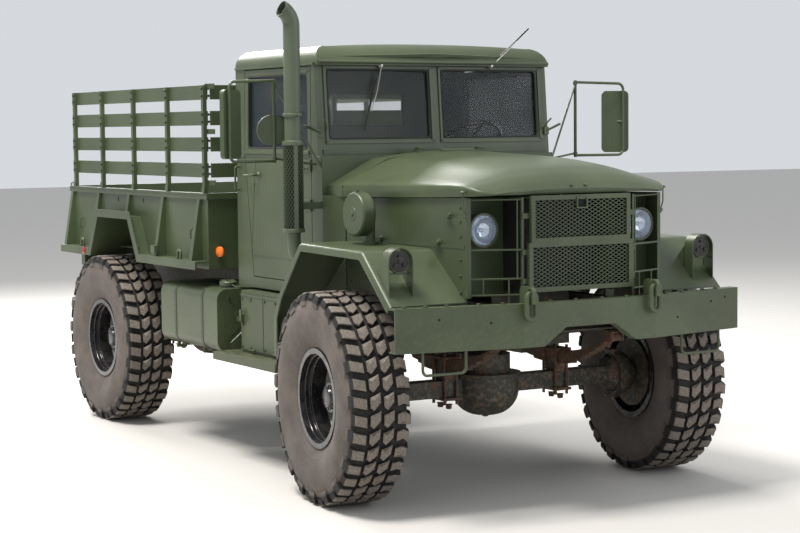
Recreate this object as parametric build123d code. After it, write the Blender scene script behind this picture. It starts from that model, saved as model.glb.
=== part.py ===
from build123d import *
import os
from math import acos, cos, degrees, hypot, radians, sin, sqrt

os.makedirs("parts", exist_ok=True)

# A military cargo truck on two driven axles: long hood, hard-top cab, short steel cargo bed with
# stake racks, and four very large single tyres. Millimetres, drawn with X forward from the front
# axle, Y to the truck's left and Z up from the ground. The front wheels stand a few degrees to
# the right, as the truck is parked. Every piece is moved by ORIGIN_SHIFT as it is written, so the
# origin lies on the ground under the middle of the truck.

RUNNING_GAP = 0.3
PANEL_GAP = 6

WHEELBASE = 3800
TYRE_RADIUS = 610
TYRE_WIDTH = 376
TREAD_WIDTH = 330
BEAD_RADIUS = 264
RIM_WIDTH = 292
RIM_FLANGE_RADIUS = 286
FRONT_TYRE_Y = 1090

KINGPIN_Y = 830
STEER_AT_REST = 6
STEERING_ARM = 280
BALL_RADIUS = 112
CUP_WALL = 22
SPINDLE_RADIUS = 38

RAIL_OUTER_Y = 430
RAIL_WEB = 10
RAIL_FLANGE = 70
RAIL_BOTTOM_Z = TYRE_RADIUS + 340
RAIL_TOP_Z = RAIL_BOTTOM_Z + 200

AXLE_BEAM = 100
BOWL_Y = -115
BOWL_RADIUS = 200
BOWL_BOTTOM_Z = TYRE_RADIUS - 177
BOWL_TOP_Z = TYRE_RADIUS + 78

SPRING_Y = 395
SPRING_WIDTH = 64
SPRING_SPAN = 1200
SPRING_CAMBER = 130
LEAF = 11
LEAVES = 7

BUMPER_FRONT_X = 911
BUMPER_SWEEP = 145
BUMPER_BEND_Y = 450
BUMPER_HALF_WIDTH = 1180
BUMPER_TOP_Z = RAIL_TOP_Z + 27
BUMPER_BOTTOM_Z = BUMPER_TOP_Z - 242
BUMPER_PLATE = 10
BUMPER_DEPTH = 70

CAB_HALF_WIDTH = 845
CAB_WALL = 30
CAB_FRONT_X = -660
CAB_REAR_X = -1840
CAB_BOTTOM_Z = RAIL_TOP_Z - 30
CAB_FLOOR_Z = CAB_BOTTOM_Z + 70
CAB_FLOOR_SHEET = 10
BELT_Z = CAB_FLOOR_Z + 785
ROOF_EDGE_Z = BELT_Z + 550
ROOF_TOP_Z = ROOF_EDGE_Z + 139
DOOR_FRONT_X = -800
DOOR_THICK = 38

HOOD_REAR_X = -475
HOOD_SHEET = 10

BED_FRONT_X = -2060
BED_REAR_X = -WHEELBASE - 770
BED_HALF_WIDTH = 958
SILL_HALF_WIDTH = BED_HALF_WIDTH + 100
REAR_TYRE_Y = BED_HALF_WIDTH - 68
BED_BOTTOM_Z = RAIL_TOP_Z + 65
BED_FLOOR_Z = BED_BOTTOM_Z + 55
BED_TOP_Z = BED_FLOOR_Z + 452
BED_SHEET = 10

# The length runs from the pintle to the towing lugs.
LUG_REACH = 61
FRONT_END_X = BUMPER_FRONT_X + LUG_REACH
REAR_END_X = BED_REAR_X - 120
ORIGIN_SHIFT = -(FRONT_END_X + REAR_END_X) / 2


def block(x, y, z):
    """A box between the (low, high) pairs x, y and z."""
    size = [high - low for low, high in (x, y, z)]
    middle = [(high + low) / 2 for low, high in (x, y, z)]
    return Pos(*middle) * Box(*size)


def side_plate(points, y0, y1):
    """An outline of (x, z) points, as thick as from y0 to y1."""
    outline = Polyline(*[(x, y0, z) for x, z in points], close=True)
    return extrude(make_face(outline), amount=y1 - y0, dir=(0, 1, 0))


def plan_plate(points, z0, z1):
    """An outline of (x, y) points, as thick as from z0 to z1."""
    outline = Polyline(*[(x, y, z0) for x, y in points], close=True)
    return extrude(make_face(outline), amount=z1 - z0, dir=(0, 0, 1))


def front_plate(points, x0, x1):
    """An outline of (y, z) points, as thick as from x0 to x1."""
    outline = Polyline(*[(x0, y, z) for y, z in points], close=True)
    return extrude(make_face(outline), amount=x1 - x0, dir=(1, 0, 0))


def rod(start, end, radius):
    """A round bar from one point to another."""
    run = Vector(*end) - Vector(*start)
    return extrude(Plane(origin=start, z_dir=run) * Circle(radius), amount=run.length)


def bent_rod(points, bend, radius):
    """A round bar along straight runs joined by bends."""
    path = FilletPolyline(*points, radius=bend)
    return sweep(Plane(origin=path @ 0, z_dir=path % 0) * Circle(radius), path=path)


def turned(points, x, y, z):
    """A ring or disc turned about an axle across the truck, from (y, radius) points."""
    outline = Polyline(*[(x, y + across, z + radius) for across, radius in points], close=True)
    return revolve(make_face(outline), Axis((x, y, z), (0, 1, 0)))


def band(points, depth, y0, y1):
    """A bent strip: the (x, z) line and the same line set in by depth, to its right hand side."""
    sides = []
    for (xa, za), (xb, zb) in zip(points, points[1:]):
        length = hypot(xb - xa, zb - za)
        sides.append(((zb - za) / length, -(xb - xa) / length))
    inner = []
    for i, (x, z) in enumerate(points):
        before = sides[max(i - 1, 0)]
        after = sides[min(i, len(sides) - 1)]
        share = depth / (1 + before[0] * after[0] + before[1] * after[1])
        inner.append((x + share * (before[0] + after[0]), z + share * (before[1] + after[1])))
    return side_plate(list(points) + inner[::-1], y0, y1)


def other_side(shape):
    return mirror(shape, Plane.XZ)


def both_sides(shape):
    """A left-hand piece and its mirror image, as one node."""
    return Compound([shape, other_side(shape)])


def steered(side, shape):
    """Turn a left-hand piece of the steering about its kingpin; side is 1 left, -1 right."""
    if side < 0:
        shape = other_side(shape)
    pin = Pos(0, side * KINGPIN_Y, 0)
    return pin * Rot(0, 0, -STEER_AT_REST) * pin.inverse() * shape


def save(name, shape):
    export_step(Pos(ORIGIN_SHIFT, 0, 0) * shape, "parts/" + name + ".step")


# Frame: two channel rails with crossmembers, and outriggers that carry the tank and the boxes.
RAIL_FRONT_X = BUMPER_FRONT_X - BUMPER_PLATE
RAIL_REAR_X = BED_REAR_X + 60
CROSSMEMBERS_X = (690, -1930, 900 - WHEELBASE, 470 - WHEELBASE, -WHEELBASE - 470)
CROSSMEMBER = (60, 130)

web_y = RAIL_OUTER_Y - RAIL_WEB
rail = block((RAIL_REAR_X, RAIL_FRONT_X), (RAIL_OUTER_Y - RAIL_FLANGE, RAIL_OUTER_Y),
             (RAIL_BOTTOM_Z, RAIL_TOP_Z))
rail -= block((RAIL_REAR_X, RAIL_FRONT_X), (RAIL_OUTER_Y - RAIL_FLANGE, web_y),
              (RAIL_BOTTOM_Z + RAIL_WEB, RAIL_TOP_Z - RAIL_WEB))
save("frame_rails", both_sides(rail))
crossmembers = []
member_middle = (RAIL_TOP_Z + RAIL_BOTTOM_Z) / 2
for member_x in CROSSMEMBERS_X:
    member = block((member_x, member_x + CROSSMEMBER[0]), (-web_y, web_y),
                   (member_middle - CROSSMEMBER[1] / 2, member_middle + CROSSMEMBER[1] / 2))
    member -= block((member_x + RAIL_WEB, member_x + CROSSMEMBER[0]), (-web_y, web_y),
                    (member_middle - CROSSMEMBER[1] / 2 + RAIL_WEB,
                     member_middle + CROSSMEMBER[1] / 2 - RAIL_WEB))
    crossmembers.append(member)
rear_plate = block((RAIL_REAR_X - RAIL_WEB, RAIL_REAR_X), (-RAIL_OUTER_Y, RAIL_OUTER_Y),
                   (RAIL_BOTTOM_Z, RAIL_TOP_Z))
crossmembers.append(rear_plate)
save("crossmembers", Compound(crossmembers))

# Fuel tank: a rounded box slung outside the right rail on two straps and two shelves.
TANK_X = (-2720, -1810)
TANK_OUTER_Y = 1020
TANK_INNER_Y = 500
TANK_Z = (RAIL_TOP_Z - 460, RAIL_TOP_Z - 50)
TANK_CORNER = 70
STRAPS_X = (-2480, -2050)
STRAP_WIDTH = 34
STRAP_THICK = 4
SHELF = 14

tank_height = TANK_Z[1] - TANK_Z[0]
tank_width = TANK_OUTER_Y - TANK_INNER_Y
tank_middle = (-(TANK_OUTER_Y + TANK_INNER_Y) / 2, (TANK_Z[0] + TANK_Z[1]) / 2)
tank_plane = Plane(origin=(TANK_X[0], *tank_middle), x_dir=(0, 1, 0), z_dir=(1, 0, 0))
tank_section = RectangleRounded(tank_width, tank_height, TANK_CORNER)
fuel_tank = extrude(tank_plane * tank_section, amount=TANK_X[1] - TANK_X[0])
strap_section = RectangleRounded(tank_width + 2 * STRAP_THICK, tank_height + 2 * STRAP_THICK,
                                 TANK_CORNER + STRAP_THICK)
for strap_x in STRAPS_X:
    strap_plane = tank_plane.offset(strap_x - STRAP_WIDTH / 2 - TANK_X[0])
    fuel_tank += extrude(strap_plane * strap_section, amount=STRAP_WIDTH)
FILLER_X = -1950
filler_y = -TANK_OUTER_Y + 150
fuel_tank += rod((FILLER_X, filler_y, TANK_Z[1] - 5), (FILLER_X, filler_y, TANK_Z[1] + 24), 52)
save("fuel_tank", fuel_tank)

frame_brackets = []
for strap_x in STRAPS_X:
    shelf_x = (strap_x - 35, strap_x + 35)
    shelf_top = TANK_Z[0] - STRAP_THICK
    shelf = block(shelf_x, (-TANK_OUTER_Y + 60, -RAIL_OUTER_Y), (shelf_top - SHELF, shelf_top))
    shelf += block(shelf_x, (-RAIL_OUTER_Y - SHELF, -RAIL_OUTER_Y), (shelf_top, RAIL_TOP_Z - 20))
    frame_brackets.append(shelf)

# Battery box under the right door, with a plain lid and a latch, and a step below each door.
BOX_X = (-1660, -990)
BOX_OUTER_Y = 915
BOX_INNER_Y = 470
BOX_LID = 12
STEP_X = (-1800, -900)
STEP_OUTER_Y = 1060
STEP_INNER_Y = 760
STEP_Z = (RAIL_TOP_Z - 500, RAIL_TOP_Z - 448)
BOX_Z = (STEP_Z[1], RAIL_TOP_Z - 46)
BOX_LATCH_Z = (BOX_Z[1] - 224, BOX_Z[1] - 154)
STEP_SHEET = 8

box_door = block((BOX_X[0] + 20, BOX_X[1] - 20), (-BOX_OUTER_Y - BOX_LID, -BOX_OUTER_Y),
                 (BOX_Z[0] + 20, BOX_Z[1] - 20))
battery_box = block(BOX_X, (-BOX_OUTER_Y, -BOX_INNER_Y), BOX_Z) + box_door
battery_box += block((BOX_X[0] + 45, BOX_X[0] + 65), (-BOX_OUTER_Y - BOX_LID - 16, -BOX_OUTER_Y),
                     BOX_LATCH_Z)
save("battery_box", battery_box)

step = block(STEP_X, (STEP_INNER_Y, STEP_OUTER_Y), STEP_Z)
step -= block((STEP_X[0] + STEP_SHEET, STEP_X[1] - STEP_SHEET),
              (STEP_INNER_Y + STEP_SHEET, STEP_OUTER_Y - STEP_SHEET),
              (STEP_Z[0], STEP_Z[1] - STEP_SHEET))
save("running_boards", both_sides(step))

for bracket_x in (BOX_X[0] + 60, BOX_X[1] - 130):
    bracket = block((bracket_x, bracket_x + 60), (RAIL_OUTER_Y, RAIL_OUTER_Y + SHELF),
                    (STEP_Z[0], RAIL_TOP_Z - 20))
    bracket += block((bracket_x, bracket_x + 60), (RAIL_OUTER_Y, STEP_INNER_Y), STEP_Z)
    frame_brackets += [bracket, other_side(bracket)]

# Air tanks on the left rail, where the right side has its battery box.
AIR_TANK_RADIUS = 125
AIR_TANKS_Z = RAIL_TOP_Z - 250
AIR_TANK_Y = 620
AIR_TANK_X = ((-1650, -1000), (-2700, -2000))
air_tanks = []
for tank_start, tank_end in AIR_TANK_X:
    shell = rod((tank_start, AIR_TANK_Y, AIR_TANKS_Z), (tank_end, AIR_TANK_Y, AIR_TANKS_Z),
                AIR_TANK_RADIUS)
    shell = fillet(shell.edges().filter_by(GeomType.CIRCLE), 45)
    for saddle_x in (tank_start + 190, tank_end - 230):
        saddle = block((saddle_x, saddle_x + 40), (RAIL_OUTER_Y, AIR_TANK_Y),
                       (AIR_TANKS_Z + 60, AIR_TANKS_Z + 100))
        shell += saddle
    air_tanks.append(shell)
save("air_tanks", Compound(air_tanks))

# Front bumper: a pressed channel, its ends swept back, with a raised notch under the middle.
NOTCH_HALF_BOTTOM = 315
NOTCH_HALF_TOP = 168
NOTCH_TOP_Z = BUMPER_BOTTOM_Z + 99


def bumper_band(inset):
    """The bumper seen from above, set back from its front face by inset."""
    front = BUMPER_FRONT_X - inset
    back = BUMPER_FRONT_X - BUMPER_DEPTH
    reach = BUMPER_HALF_WIDTH + (inset > 0) * 5
    end = front - BUMPER_SWEEP * (reach - BUMPER_BEND_Y) / (BUMPER_HALF_WIDTH - BUMPER_BEND_Y)
    end_back = end - (front - back) - (inset > 0) * 20
    back -= (inset > 0) * 20
    points = [(front, -BUMPER_BEND_Y), (front, BUMPER_BEND_Y), (end, reach), (end_back, reach),
              (back, BUMPER_BEND_Y), (back, -BUMPER_BEND_Y), (end_back, -reach), (end, -reach)]
    return plan_plate(points, BUMPER_BOTTOM_Z - 5, BUMPER_TOP_Z + 5)


def bumper_face(inset):
    """The bumper seen from the front, with its notch, set in by inset all round."""
    low, high = BUMPER_BOTTOM_Z + inset, BUMPER_TOP_Z - inset
    notch = NOTCH_TOP_Z + inset
    wide = BUMPER_HALF_WIDTH + 10
    points = [(-wide, low), (-wide, high), (wide, high), (wide, low),
              (NOTCH_HALF_BOTTOM + inset / 2, low), (NOTCH_HALF_TOP + inset / 2, notch),
              (-NOTCH_HALF_TOP - inset / 2, notch), (-NOTCH_HALF_BOTTOM - inset / 2, low)]
    return front_plate(points, BUMPER_FRONT_X - 400, BUMPER_FRONT_X + 5)


bumper = (bumper_band(0) & bumper_face(0)) - (bumper_band(BUMPER_PLATE) & bumper_face(BUMPER_PLATE))
STIRRUP_Y = (745, 1020)
STIRRUP_DROP = 125
STIRRUP_X = BUMPER_FRONT_X - 130
stirrup = bent_rod([(STIRRUP_X, STIRRUP_Y[0], BUMPER_BOTTOM_Z + 3),
                    (STIRRUP_X, STIRRUP_Y[0], BUMPER_BOTTOM_Z - STIRRUP_DROP),
                    (STIRRUP_X, STIRRUP_Y[1], BUMPER_BOTTOM_Z - STIRRUP_DROP),
                    (STIRRUP_X, STIRRUP_Y[1], BUMPER_BOTTOM_Z + 3)], 30, 8)
bumper += stirrup + other_side(stirrup)

# Towing lugs stand on the bumper over the rails, and a long link hangs through each of them.
LUG_Y = 425
LUG_THICK = 24
LUG_X = (BUMPER_FRONT_X - 65, FRONT_END_X)
LINK_BAR = 13
LINK_HALF_WIDTH = 30
LINK_X = FRONT_END_X - 28
LINK_TOP_Z = BUMPER_TOP_Z + 61
LINK_BOTTOM_Z = LINK_TOP_Z - 146
LUG_HOLE_RADIUS = 20
LUG_WALL = 13
LINK_CHAMFER = 6

link_bend = LINK_HALF_WIDTH - LINK_BAR
link_dip = link_bend - sqrt(link_bend ** 2 - (LUG_THICK / 2) ** 2)
link_corner = sqrt(LUG_HOLE_RADIUS ** 2 - (LINK_BAR - LINK_CHAMFER) ** 2)
lug_hole_z = LINK_TOP_Z - link_dip - LINK_BAR - RUNNING_GAP + link_corner
lug_top_z = lug_hole_z + LUG_HOLE_RADIUS + LUG_WALL
lug = block(LUG_X, (LUG_Y - LUG_THICK / 2, LUG_Y + LUG_THICK / 2), (BUMPER_TOP_Z, lug_top_z))
lug = fillet(lug.edges().filter_by(Axis.Y).group_by(Axis.Z)[-1], 28)
lug -= rod((LINK_X, LUG_Y - LUG_THICK, lug_hole_z), (LINK_X, LUG_Y + LUG_THICK, lug_hole_z),
           LUG_HOLE_RADIUS)
bumper += lug + other_side(lug)
save("front_bumper", bumper)

link_height = LINK_TOP_Z - LINK_BOTTOM_Z + 2 * LINK_BAR
link_plane = Plane(origin=(LINK_X, LUG_Y, (LINK_TOP_Z + LINK_BOTTOM_Z) / 2), x_dir=(0, 1, 0),
                   z_dir=(1, 0, 0))
link_outer = SlotOverall(link_height, 2 * (LINK_HALF_WIDTH + LINK_BAR), rotation=90)
link_inner = SlotOverall(link_height - 4 * LINK_BAR, 2 * (LINK_HALF_WIDTH - LINK_BAR), rotation=90)
link = extrude(link_plane * (link_outer - link_inner), amount=LINK_BAR, both=True)
link = chamfer(link.faces().sort_by(Axis.X)[-1].edges() + link.faces().sort_by(Axis.X)[0].edges(),
               LINK_CHAMFER)
save("tow_shackles", both_sides(link))

# Axles: a square beam with a round bowl under the gears, which sit to the right of the middle.
AXLE_HALF_LENGTH = {"front": KINGPIN_Y - 60, "rear": REAR_TYRE_Y - 250}
PINION_X = 400
PINION_RADIUS = 62
PINION_Z = TYRE_RADIUS + 132
CARRIER_RADIUS = 150
CARRIER_TOP_Z = TYRE_RADIUS + 190
BOWL_SIDE_Z = TYRE_RADIUS - 40
BOWL_BULGE = (158, TYRE_RADIUS - 128)


def axle(axle_x, pinion_side, half_length):
    """A beam axle at axle_x whose pinion points forward (1) or backward (-1)."""
    half = AXLE_BEAM / 2
    beam = block((axle_x - half, axle_x + half), (-half_length, half_length),
                 (TYRE_RADIUS - half, TYRE_RADIUS + half))
    outline = [Line((0, BOWL_BOTTOM_Z), (60, BOWL_BOTTOM_Z)),
               ThreePointArc((60, BOWL_BOTTOM_Z), BOWL_BULGE, (BOWL_RADIUS, BOWL_SIDE_Z)),
               Line((BOWL_RADIUS, BOWL_SIDE_Z), (BOWL_RADIUS, BOWL_TOP_Z)),
               Line((BOWL_RADIUS, BOWL_TOP_Z), (CARRIER_RADIUS, BOWL_TOP_Z)),
               Line((CARRIER_RADIUS, BOWL_TOP_Z), (CARRIER_RADIUS, CARRIER_TOP_Z)),
               Line((CARRIER_RADIUS, CARRIER_TOP_Z), (0, CARRIER_TOP_Z)),
               Line((0, CARRIER_TOP_Z), (0, BOWL_BOTTOM_Z))]
    bowl_plane = Plane(origin=(axle_x, BOWL_Y, 0), x_dir=(1, 0, 0), z_dir=(0, -1, 0))
    bowl = revolve(bowl_plane * make_face(outline), Axis((axle_x, BOWL_Y, 0), (0, 0, 1)))
    flange = rod((axle_x, BOWL_Y, BOWL_TOP_Z - 24), (axle_x, BOWL_Y, BOWL_TOP_Z), BOWL_RADIUS + 14)
    pinion = rod((axle_x, BOWL_Y, PINION_Z), (axle_x + pinion_side * PINION_X, BOWL_Y, PINION_Z),
                 PINION_RADIUS)
    plug = rod((axle_x, BOWL_Y, BOWL_BOTTOM_Z - 14), (axle_x, BOWL_Y, BOWL_BOTTOM_Z), 18)
    return beam + bowl + flange + pinion + plug


front_axle = axle(0, -1, AXLE_HALF_LENGTH["front"])
TRUNNION_RADIUS = 20
TRUNNION_DEPTH = 40
TRUNNION_CAP = 44
for side in (1, -1):
    ball = Pos(0, side * KINGPIN_Y, TYRE_RADIUS) * Sphere(BALL_RADIUS)
    ball &= block((-BALL_RADIUS, BALL_RADIUS), (side * KINGPIN_Y - 110, side * KINGPIN_Y + 110),
                  (TYRE_RADIUS - BALL_RADIUS + 10, TYRE_RADIUS + BALL_RADIUS - 10))
    front_axle += ball
    for end in (1, -1):
        trunnion_z = TYRE_RADIUS + end * BALL_RADIUS
        front_axle -= rod((0, side * KINGPIN_Y, trunnion_z - end * (TRUNNION_DEPTH + 5)),
                          (0, side * KINGPIN_Y, trunnion_z), TRUNNION_RADIUS + RUNNING_GAP)
save("front_axle", front_axle)

rear_axle = axle(-WHEELBASE, 1, AXLE_HALF_LENGTH["rear"])

# Leaf springs: a pack of graded leaves on each side, its U-bolts and the hangers at its ends.
EYE_RADIUS = 25
EYE_PIN = 11
CHEEK = 12
CHEEK_DROP = 62
U_BOLT = 9
U_BOLT_X = AXLE_BEAM / 2 + 13
U_BOLT_DROP = 42
SPRING_PLATE = 16


def leaf_spring(axle_x):
    half = SPRING_SPAN / 2
    bend = (half ** 2 + SPRING_CAMBER ** 2) / (2 * SPRING_CAMBER)
    top_z = RAIL_BOTTOM_Z - EYE_RADIUS - 10 - SPRING_CAMBER
    centre = (axle_x, top_z + bend)
    edges = (SPRING_Y - SPRING_WIDTH / 2, SPRING_Y + SPRING_WIDTH / 2)
    pack = None
    for leaf in range(LEAVES):
        reach = half * (1 - leaf / (LEAVES + 1.5))
        angle = reach / bend
        inner, outer = bend + leaf * LEAF, bend + (leaf + 1) * LEAF
        tips = [(centre[0] + r * sin(a), edges[0], centre[1] - r * cos(a))
                for r, a in ((inner, -angle), (inner, 0), (inner, angle),
                             (outer, angle), (outer, 0), (outer, -angle))]
        outline = [ThreePointArc(*tips[0:3]), Line(tips[2], tips[3]),
                   ThreePointArc(*tips[3:6]), Line(tips[5], tips[0])]
        strip = extrude(make_face(outline), amount=SPRING_WIDTH, dir=(0, 1, 0))
        pack = strip if pack is None else pack + strip
    eye_z = RAIL_BOTTOM_Z - EYE_RADIUS - 10
    for end in (-1, 1):
        eye_x = axle_x + end * half
        pack += rod((eye_x, edges[0], eye_z), (eye_x, edges[1], eye_z), EYE_RADIUS)
        pack += rod((eye_x, edges[0] - CHEEK - 8, eye_z), (eye_x, edges[1] + CHEEK + 8, eye_z),
                    EYE_PIN)
        for cheek_y in (edges[0] - CHEEK, edges[1]):
            cheek = block((eye_x - 34, eye_x + 34), (cheek_y, cheek_y + CHEEK),
                          (RAIL_BOTTOM_Z - CHEEK_DROP, RAIL_BOTTOM_Z))
            cheek = fillet(cheek.edges().filter_by(Axis.Y).group_by(Axis.Z)[0], 24)
            pack += cheek
        pack += block((eye_x - 34, eye_x + 34), (edges[0] - CHEEK, edges[1] + CHEEK),
                      (RAIL_BOTTOM_Z - 8, RAIL_BOTTOM_Z))
    beam_top = TYRE_RADIUS + AXLE_BEAM / 2
    beam_bottom = TYRE_RADIUS - AXLE_BEAM / 2
    pack_bottom = top_z - LEAVES * LEAF
    seat_x = (axle_x - 60, axle_x + 60)
    pack += block(seat_x, edges, (beam_top, pack_bottom + 3))
    plate_x = (axle_x - U_BOLT_X - 24, axle_x + U_BOLT_X + 24)
    bolt_y = (edges[0] - U_BOLT, edges[1] + U_BOLT)
    plate_y = (bolt_y[0] - 18, bolt_y[1] + 18)
    pack += block(plate_x, plate_y, (beam_bottom - SPRING_PLATE, beam_bottom))
    pack += block(plate_x, plate_y, (top_z + 1, top_z + SPRING_PLATE))
    for bolt_x in (axle_x - U_BOLT_X, axle_x + U_BOLT_X):
        for y in bolt_y:
            pack += rod((bolt_x, y, beam_bottom - U_BOLT_DROP), (bolt_x, y, top_z + 34), U_BOLT)
    return pack


spring_pairs = []
for axle_x in (0, -WHEELBASE):
    spring = leaf_spring(axle_x)
    spring_pairs += [spring, other_side(spring)]
save("leaf_springs", Compound(spring_pairs))

# Driveline: gearbox, transfer case and the two propeller shafts.
ENGINE_X = (-640, 330)
ENGINE_HALF_WIDTH = 265
ENGINE_Z = (RAIL_BOTTOM_Z - 85, RAIL_TOP_Z + 410)
ENGINE_MOUNT_X = (-300, -200)
ENGINE_MOUNT_Z = (RAIL_BOTTOM_Z + 50, RAIL_BOTTOM_Z + 110)
CAB_MOUNTS_X = (-1800, -800)
CAB_MOUNT = 60
GEARBOX_X = (-1480, ENGINE_X[0])
GEARBOX_HALF = 150
GEARBOX_Z = (RAIL_BOTTOM_Z - 100, RAIL_TOP_Z - 42)
TRANSFER_X = (-1830, -1490)
TRANSFER_Y = (-230, 110)
TRANSFER_Z = (RAIL_BOTTOM_Z - 150, RAIL_BOTTOM_Z + 140)
SHAFT_RADIUS = 36
JOINT_RADIUS = 62
JOINT_LENGTH = 50
OUTPUT_RADIUS = 60
SHAFT_Z = RAIL_BOTTOM_Z - 50
OUTPUT_Z = RAIL_BOTTOM_Z + 50

transfer = block(TRANSFER_X, TRANSFER_Y, TRANSFER_Z)
gearbox = block(GEARBOX_X, (-GEARBOX_HALF, GEARBOX_HALF), GEARBOX_Z)
driveline = [fillet(transfer.edges().filter_by(Axis.X), 50),
             rod((TRANSFER_X[1], 0, OUTPUT_Z), (GEARBOX_X[0], 0, OUTPUT_Z), OUTPUT_RADIUS),
             fillet(gearbox.edges().filter_by(Axis.X), 60)]
shaft_ends = (((TRANSFER_X[1], BOWL_Y, SHAFT_Z), (-PINION_X, BOWL_Y, PINION_Z)),
              ((TRANSFER_X[0], BOWL_Y, SHAFT_Z), (-WHEELBASE + PINION_X, BOWL_Y, PINION_Z)))
for start, end in shaft_ends:
    toward = 1 if end[0] > start[0] else -1
    shaft = rod(start, (start[0] + toward * JOINT_LENGTH, start[1], start[2]), JOINT_RADIUS)
    shaft += rod((start[0] + toward * (JOINT_LENGTH - 10), start[1], start[2]),
                 (end[0] - toward * (JOINT_LENGTH - 10), end[1], end[2]), SHAFT_RADIUS)
    shaft += rod((end[0] - toward * JOINT_LENGTH, end[1], end[2]), end, JOINT_RADIUS)
    driveline.append(shaft)
save("driveline", Compound(driveline))

engine = block(ENGINE_X, (-ENGINE_HALF_WIDTH, ENGINE_HALF_WIDTH), ENGINE_Z)
save("engine_block", engine)
for mount_side in (1, -1):
    mount_y = sorted((mount_side * ENGINE_HALF_WIDTH, mount_side * web_y))
    frame_brackets.append(block(ENGINE_MOUNT_X, mount_y, ENGINE_MOUNT_Z))
    for mount_x in CAB_MOUNTS_X:
        mount_y = sorted((mount_side * (RAIL_OUTER_Y - RAIL_FLANGE + 5),
                          mount_side * (RAIL_OUTER_Y - 5)))
        frame_brackets.append(block((mount_x, mount_x + CAB_MOUNT), mount_y,
                                    (RAIL_TOP_Z, CAB_FLOOR_Z - CAB_FLOOR_SHEET)))
save("frame_brackets", Compound(frame_brackets))

# Rear axle ends: a round tube, the drum's backing plate and the spindle that the hub turns on.
DRUM_RADIUS = 205
DRUM_INNER = 120
DRUM_DEPTH = 72
PLATE_GAP = 7
PLATE_THICK = 8
PLATE_RADIUS = 212
SPINDLE_REACH = 10
TUBE_RADIUS = 62


def axle_end(axle_x, tyre_y, tube_y):
    """The backing plate and spindle that a wheel centred at tyre_y turns on."""
    plate_y = tyre_y - DRUM_INNER - PLATE_GAP - PLATE_THICK
    end = rod((axle_x, tube_y, TYRE_RADIUS), (axle_x, plate_y, TYRE_RADIUS), TUBE_RADIUS)
    end += rod((axle_x, plate_y, TYRE_RADIUS), (axle_x, plate_y + PLATE_THICK, TYRE_RADIUS),
               PLATE_RADIUS)
    end += rod((axle_x, plate_y, TYRE_RADIUS), (axle_x, tyre_y + SPINDLE_REACH, TYRE_RADIUS),
               SPINDLE_RADIUS)
    return end


TUBE_OVERLAP = 20
rear_end = axle_end(-WHEELBASE, REAR_TYRE_Y, AXLE_HALF_LENGTH["rear"] - TUBE_OVERLAP)
rear_axle += rear_end + other_side(rear_end)
save("rear_axle", rear_axle)

# Knuckles: a cup round the axle's ball, turning on two trunnion pins, with the spindle outside
# and a steering arm that points straight back.
CUP_GAP = 8
ARM_HALF_WIDTH = 19
ARM_Z = (TYRE_RADIUS - 65, TYRE_RADIUS - 35)
ARM_PIN = 12
EYE = 26
EYE_HEIGHT = 38

cup_radius = BALL_RADIUS + CUP_GAP + CUP_WALL
cup_end = FRONT_TYRE_Y - DRUM_INNER - PLATE_GAP - PLATE_THICK
cup_inner = BALL_RADIUS + CUP_GAP
cup_reach = cup_end - KINGPIN_Y


def cup_arc(radius, first, last, steps):
    """Points of the cup's outline, as (x, y, z), between two angles from the wheel's axis."""
    points = []
    for i in range(steps + 1):
        angle = radians(first + (last - first) * i / steps)
        points.append((radius * sin(angle), KINGPIN_Y + radius * cos(angle), TYRE_RADIUS))
    return points


CUP_OPEN_ANGLE = 99
CUP_STEPS = 7
cup_face_angle = degrees(acos(cup_reach / cup_radius))
outer_arc = cup_arc(cup_radius, cup_face_angle, CUP_OPEN_ANGLE, CUP_STEPS - 3)
inner_arc = cup_arc(cup_inner, CUP_OPEN_ANGLE, 0, CUP_STEPS)
cup_end_point = (0, KINGPIN_Y + cup_reach, TYRE_RADIUS)
knuckle = revolve(make_face(Polyline(*outer_arc, *inner_arc, cup_end_point, close=True)),
                  Axis((0, KINGPIN_Y, TYRE_RADIUS), (0, 1, 0)))
arm_root = sqrt(cup_inner ** 2 - (TYRE_RADIUS - ARM_Z[1]) ** 2)
knuckle += block((-STEERING_ARM, -arm_root), (KINGPIN_Y - ARM_HALF_WIDTH, KINGPIN_Y + ARM_HALF_WIDTH),
                 ARM_Z)
knuckle += rod((-STEERING_ARM, KINGPIN_Y, ARM_Z[0]), (-STEERING_ARM, KINGPIN_Y, ARM_Z[1]), EYE)
for end in (1, -1):
    cap_z = TYRE_RADIUS + end * (cup_radius + 8)
    trunnion = rod((0, KINGPIN_Y, TYRE_RADIUS + end * (BALL_RADIUS - TRUNNION_DEPTH)),
                   (0, KINGPIN_Y, cap_z), TRUNNION_RADIUS)
    trunnion += rod((0, KINGPIN_Y, cap_z - end * 20), (0, KINGPIN_Y, cap_z), TRUNNION_CAP)
    knuckle += trunnion
knuckle += rod((-STEERING_ARM, KINGPIN_Y, ARM_Z[0]),
               (-STEERING_ARM, KINGPIN_Y, ARM_Z[1] + EYE_HEIGHT + 8), ARM_PIN)
knuckle += axle_end(0, FRONT_TYRE_Y, cup_end - 4)
save("knuckle_left", steered(1, knuckle))
save("knuckle_right", steered(-1, knuckle))

# Tie rod behind the axle, hung on the pins of the two steering arms.
TIE_ROD_RADIUS = 18

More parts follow.
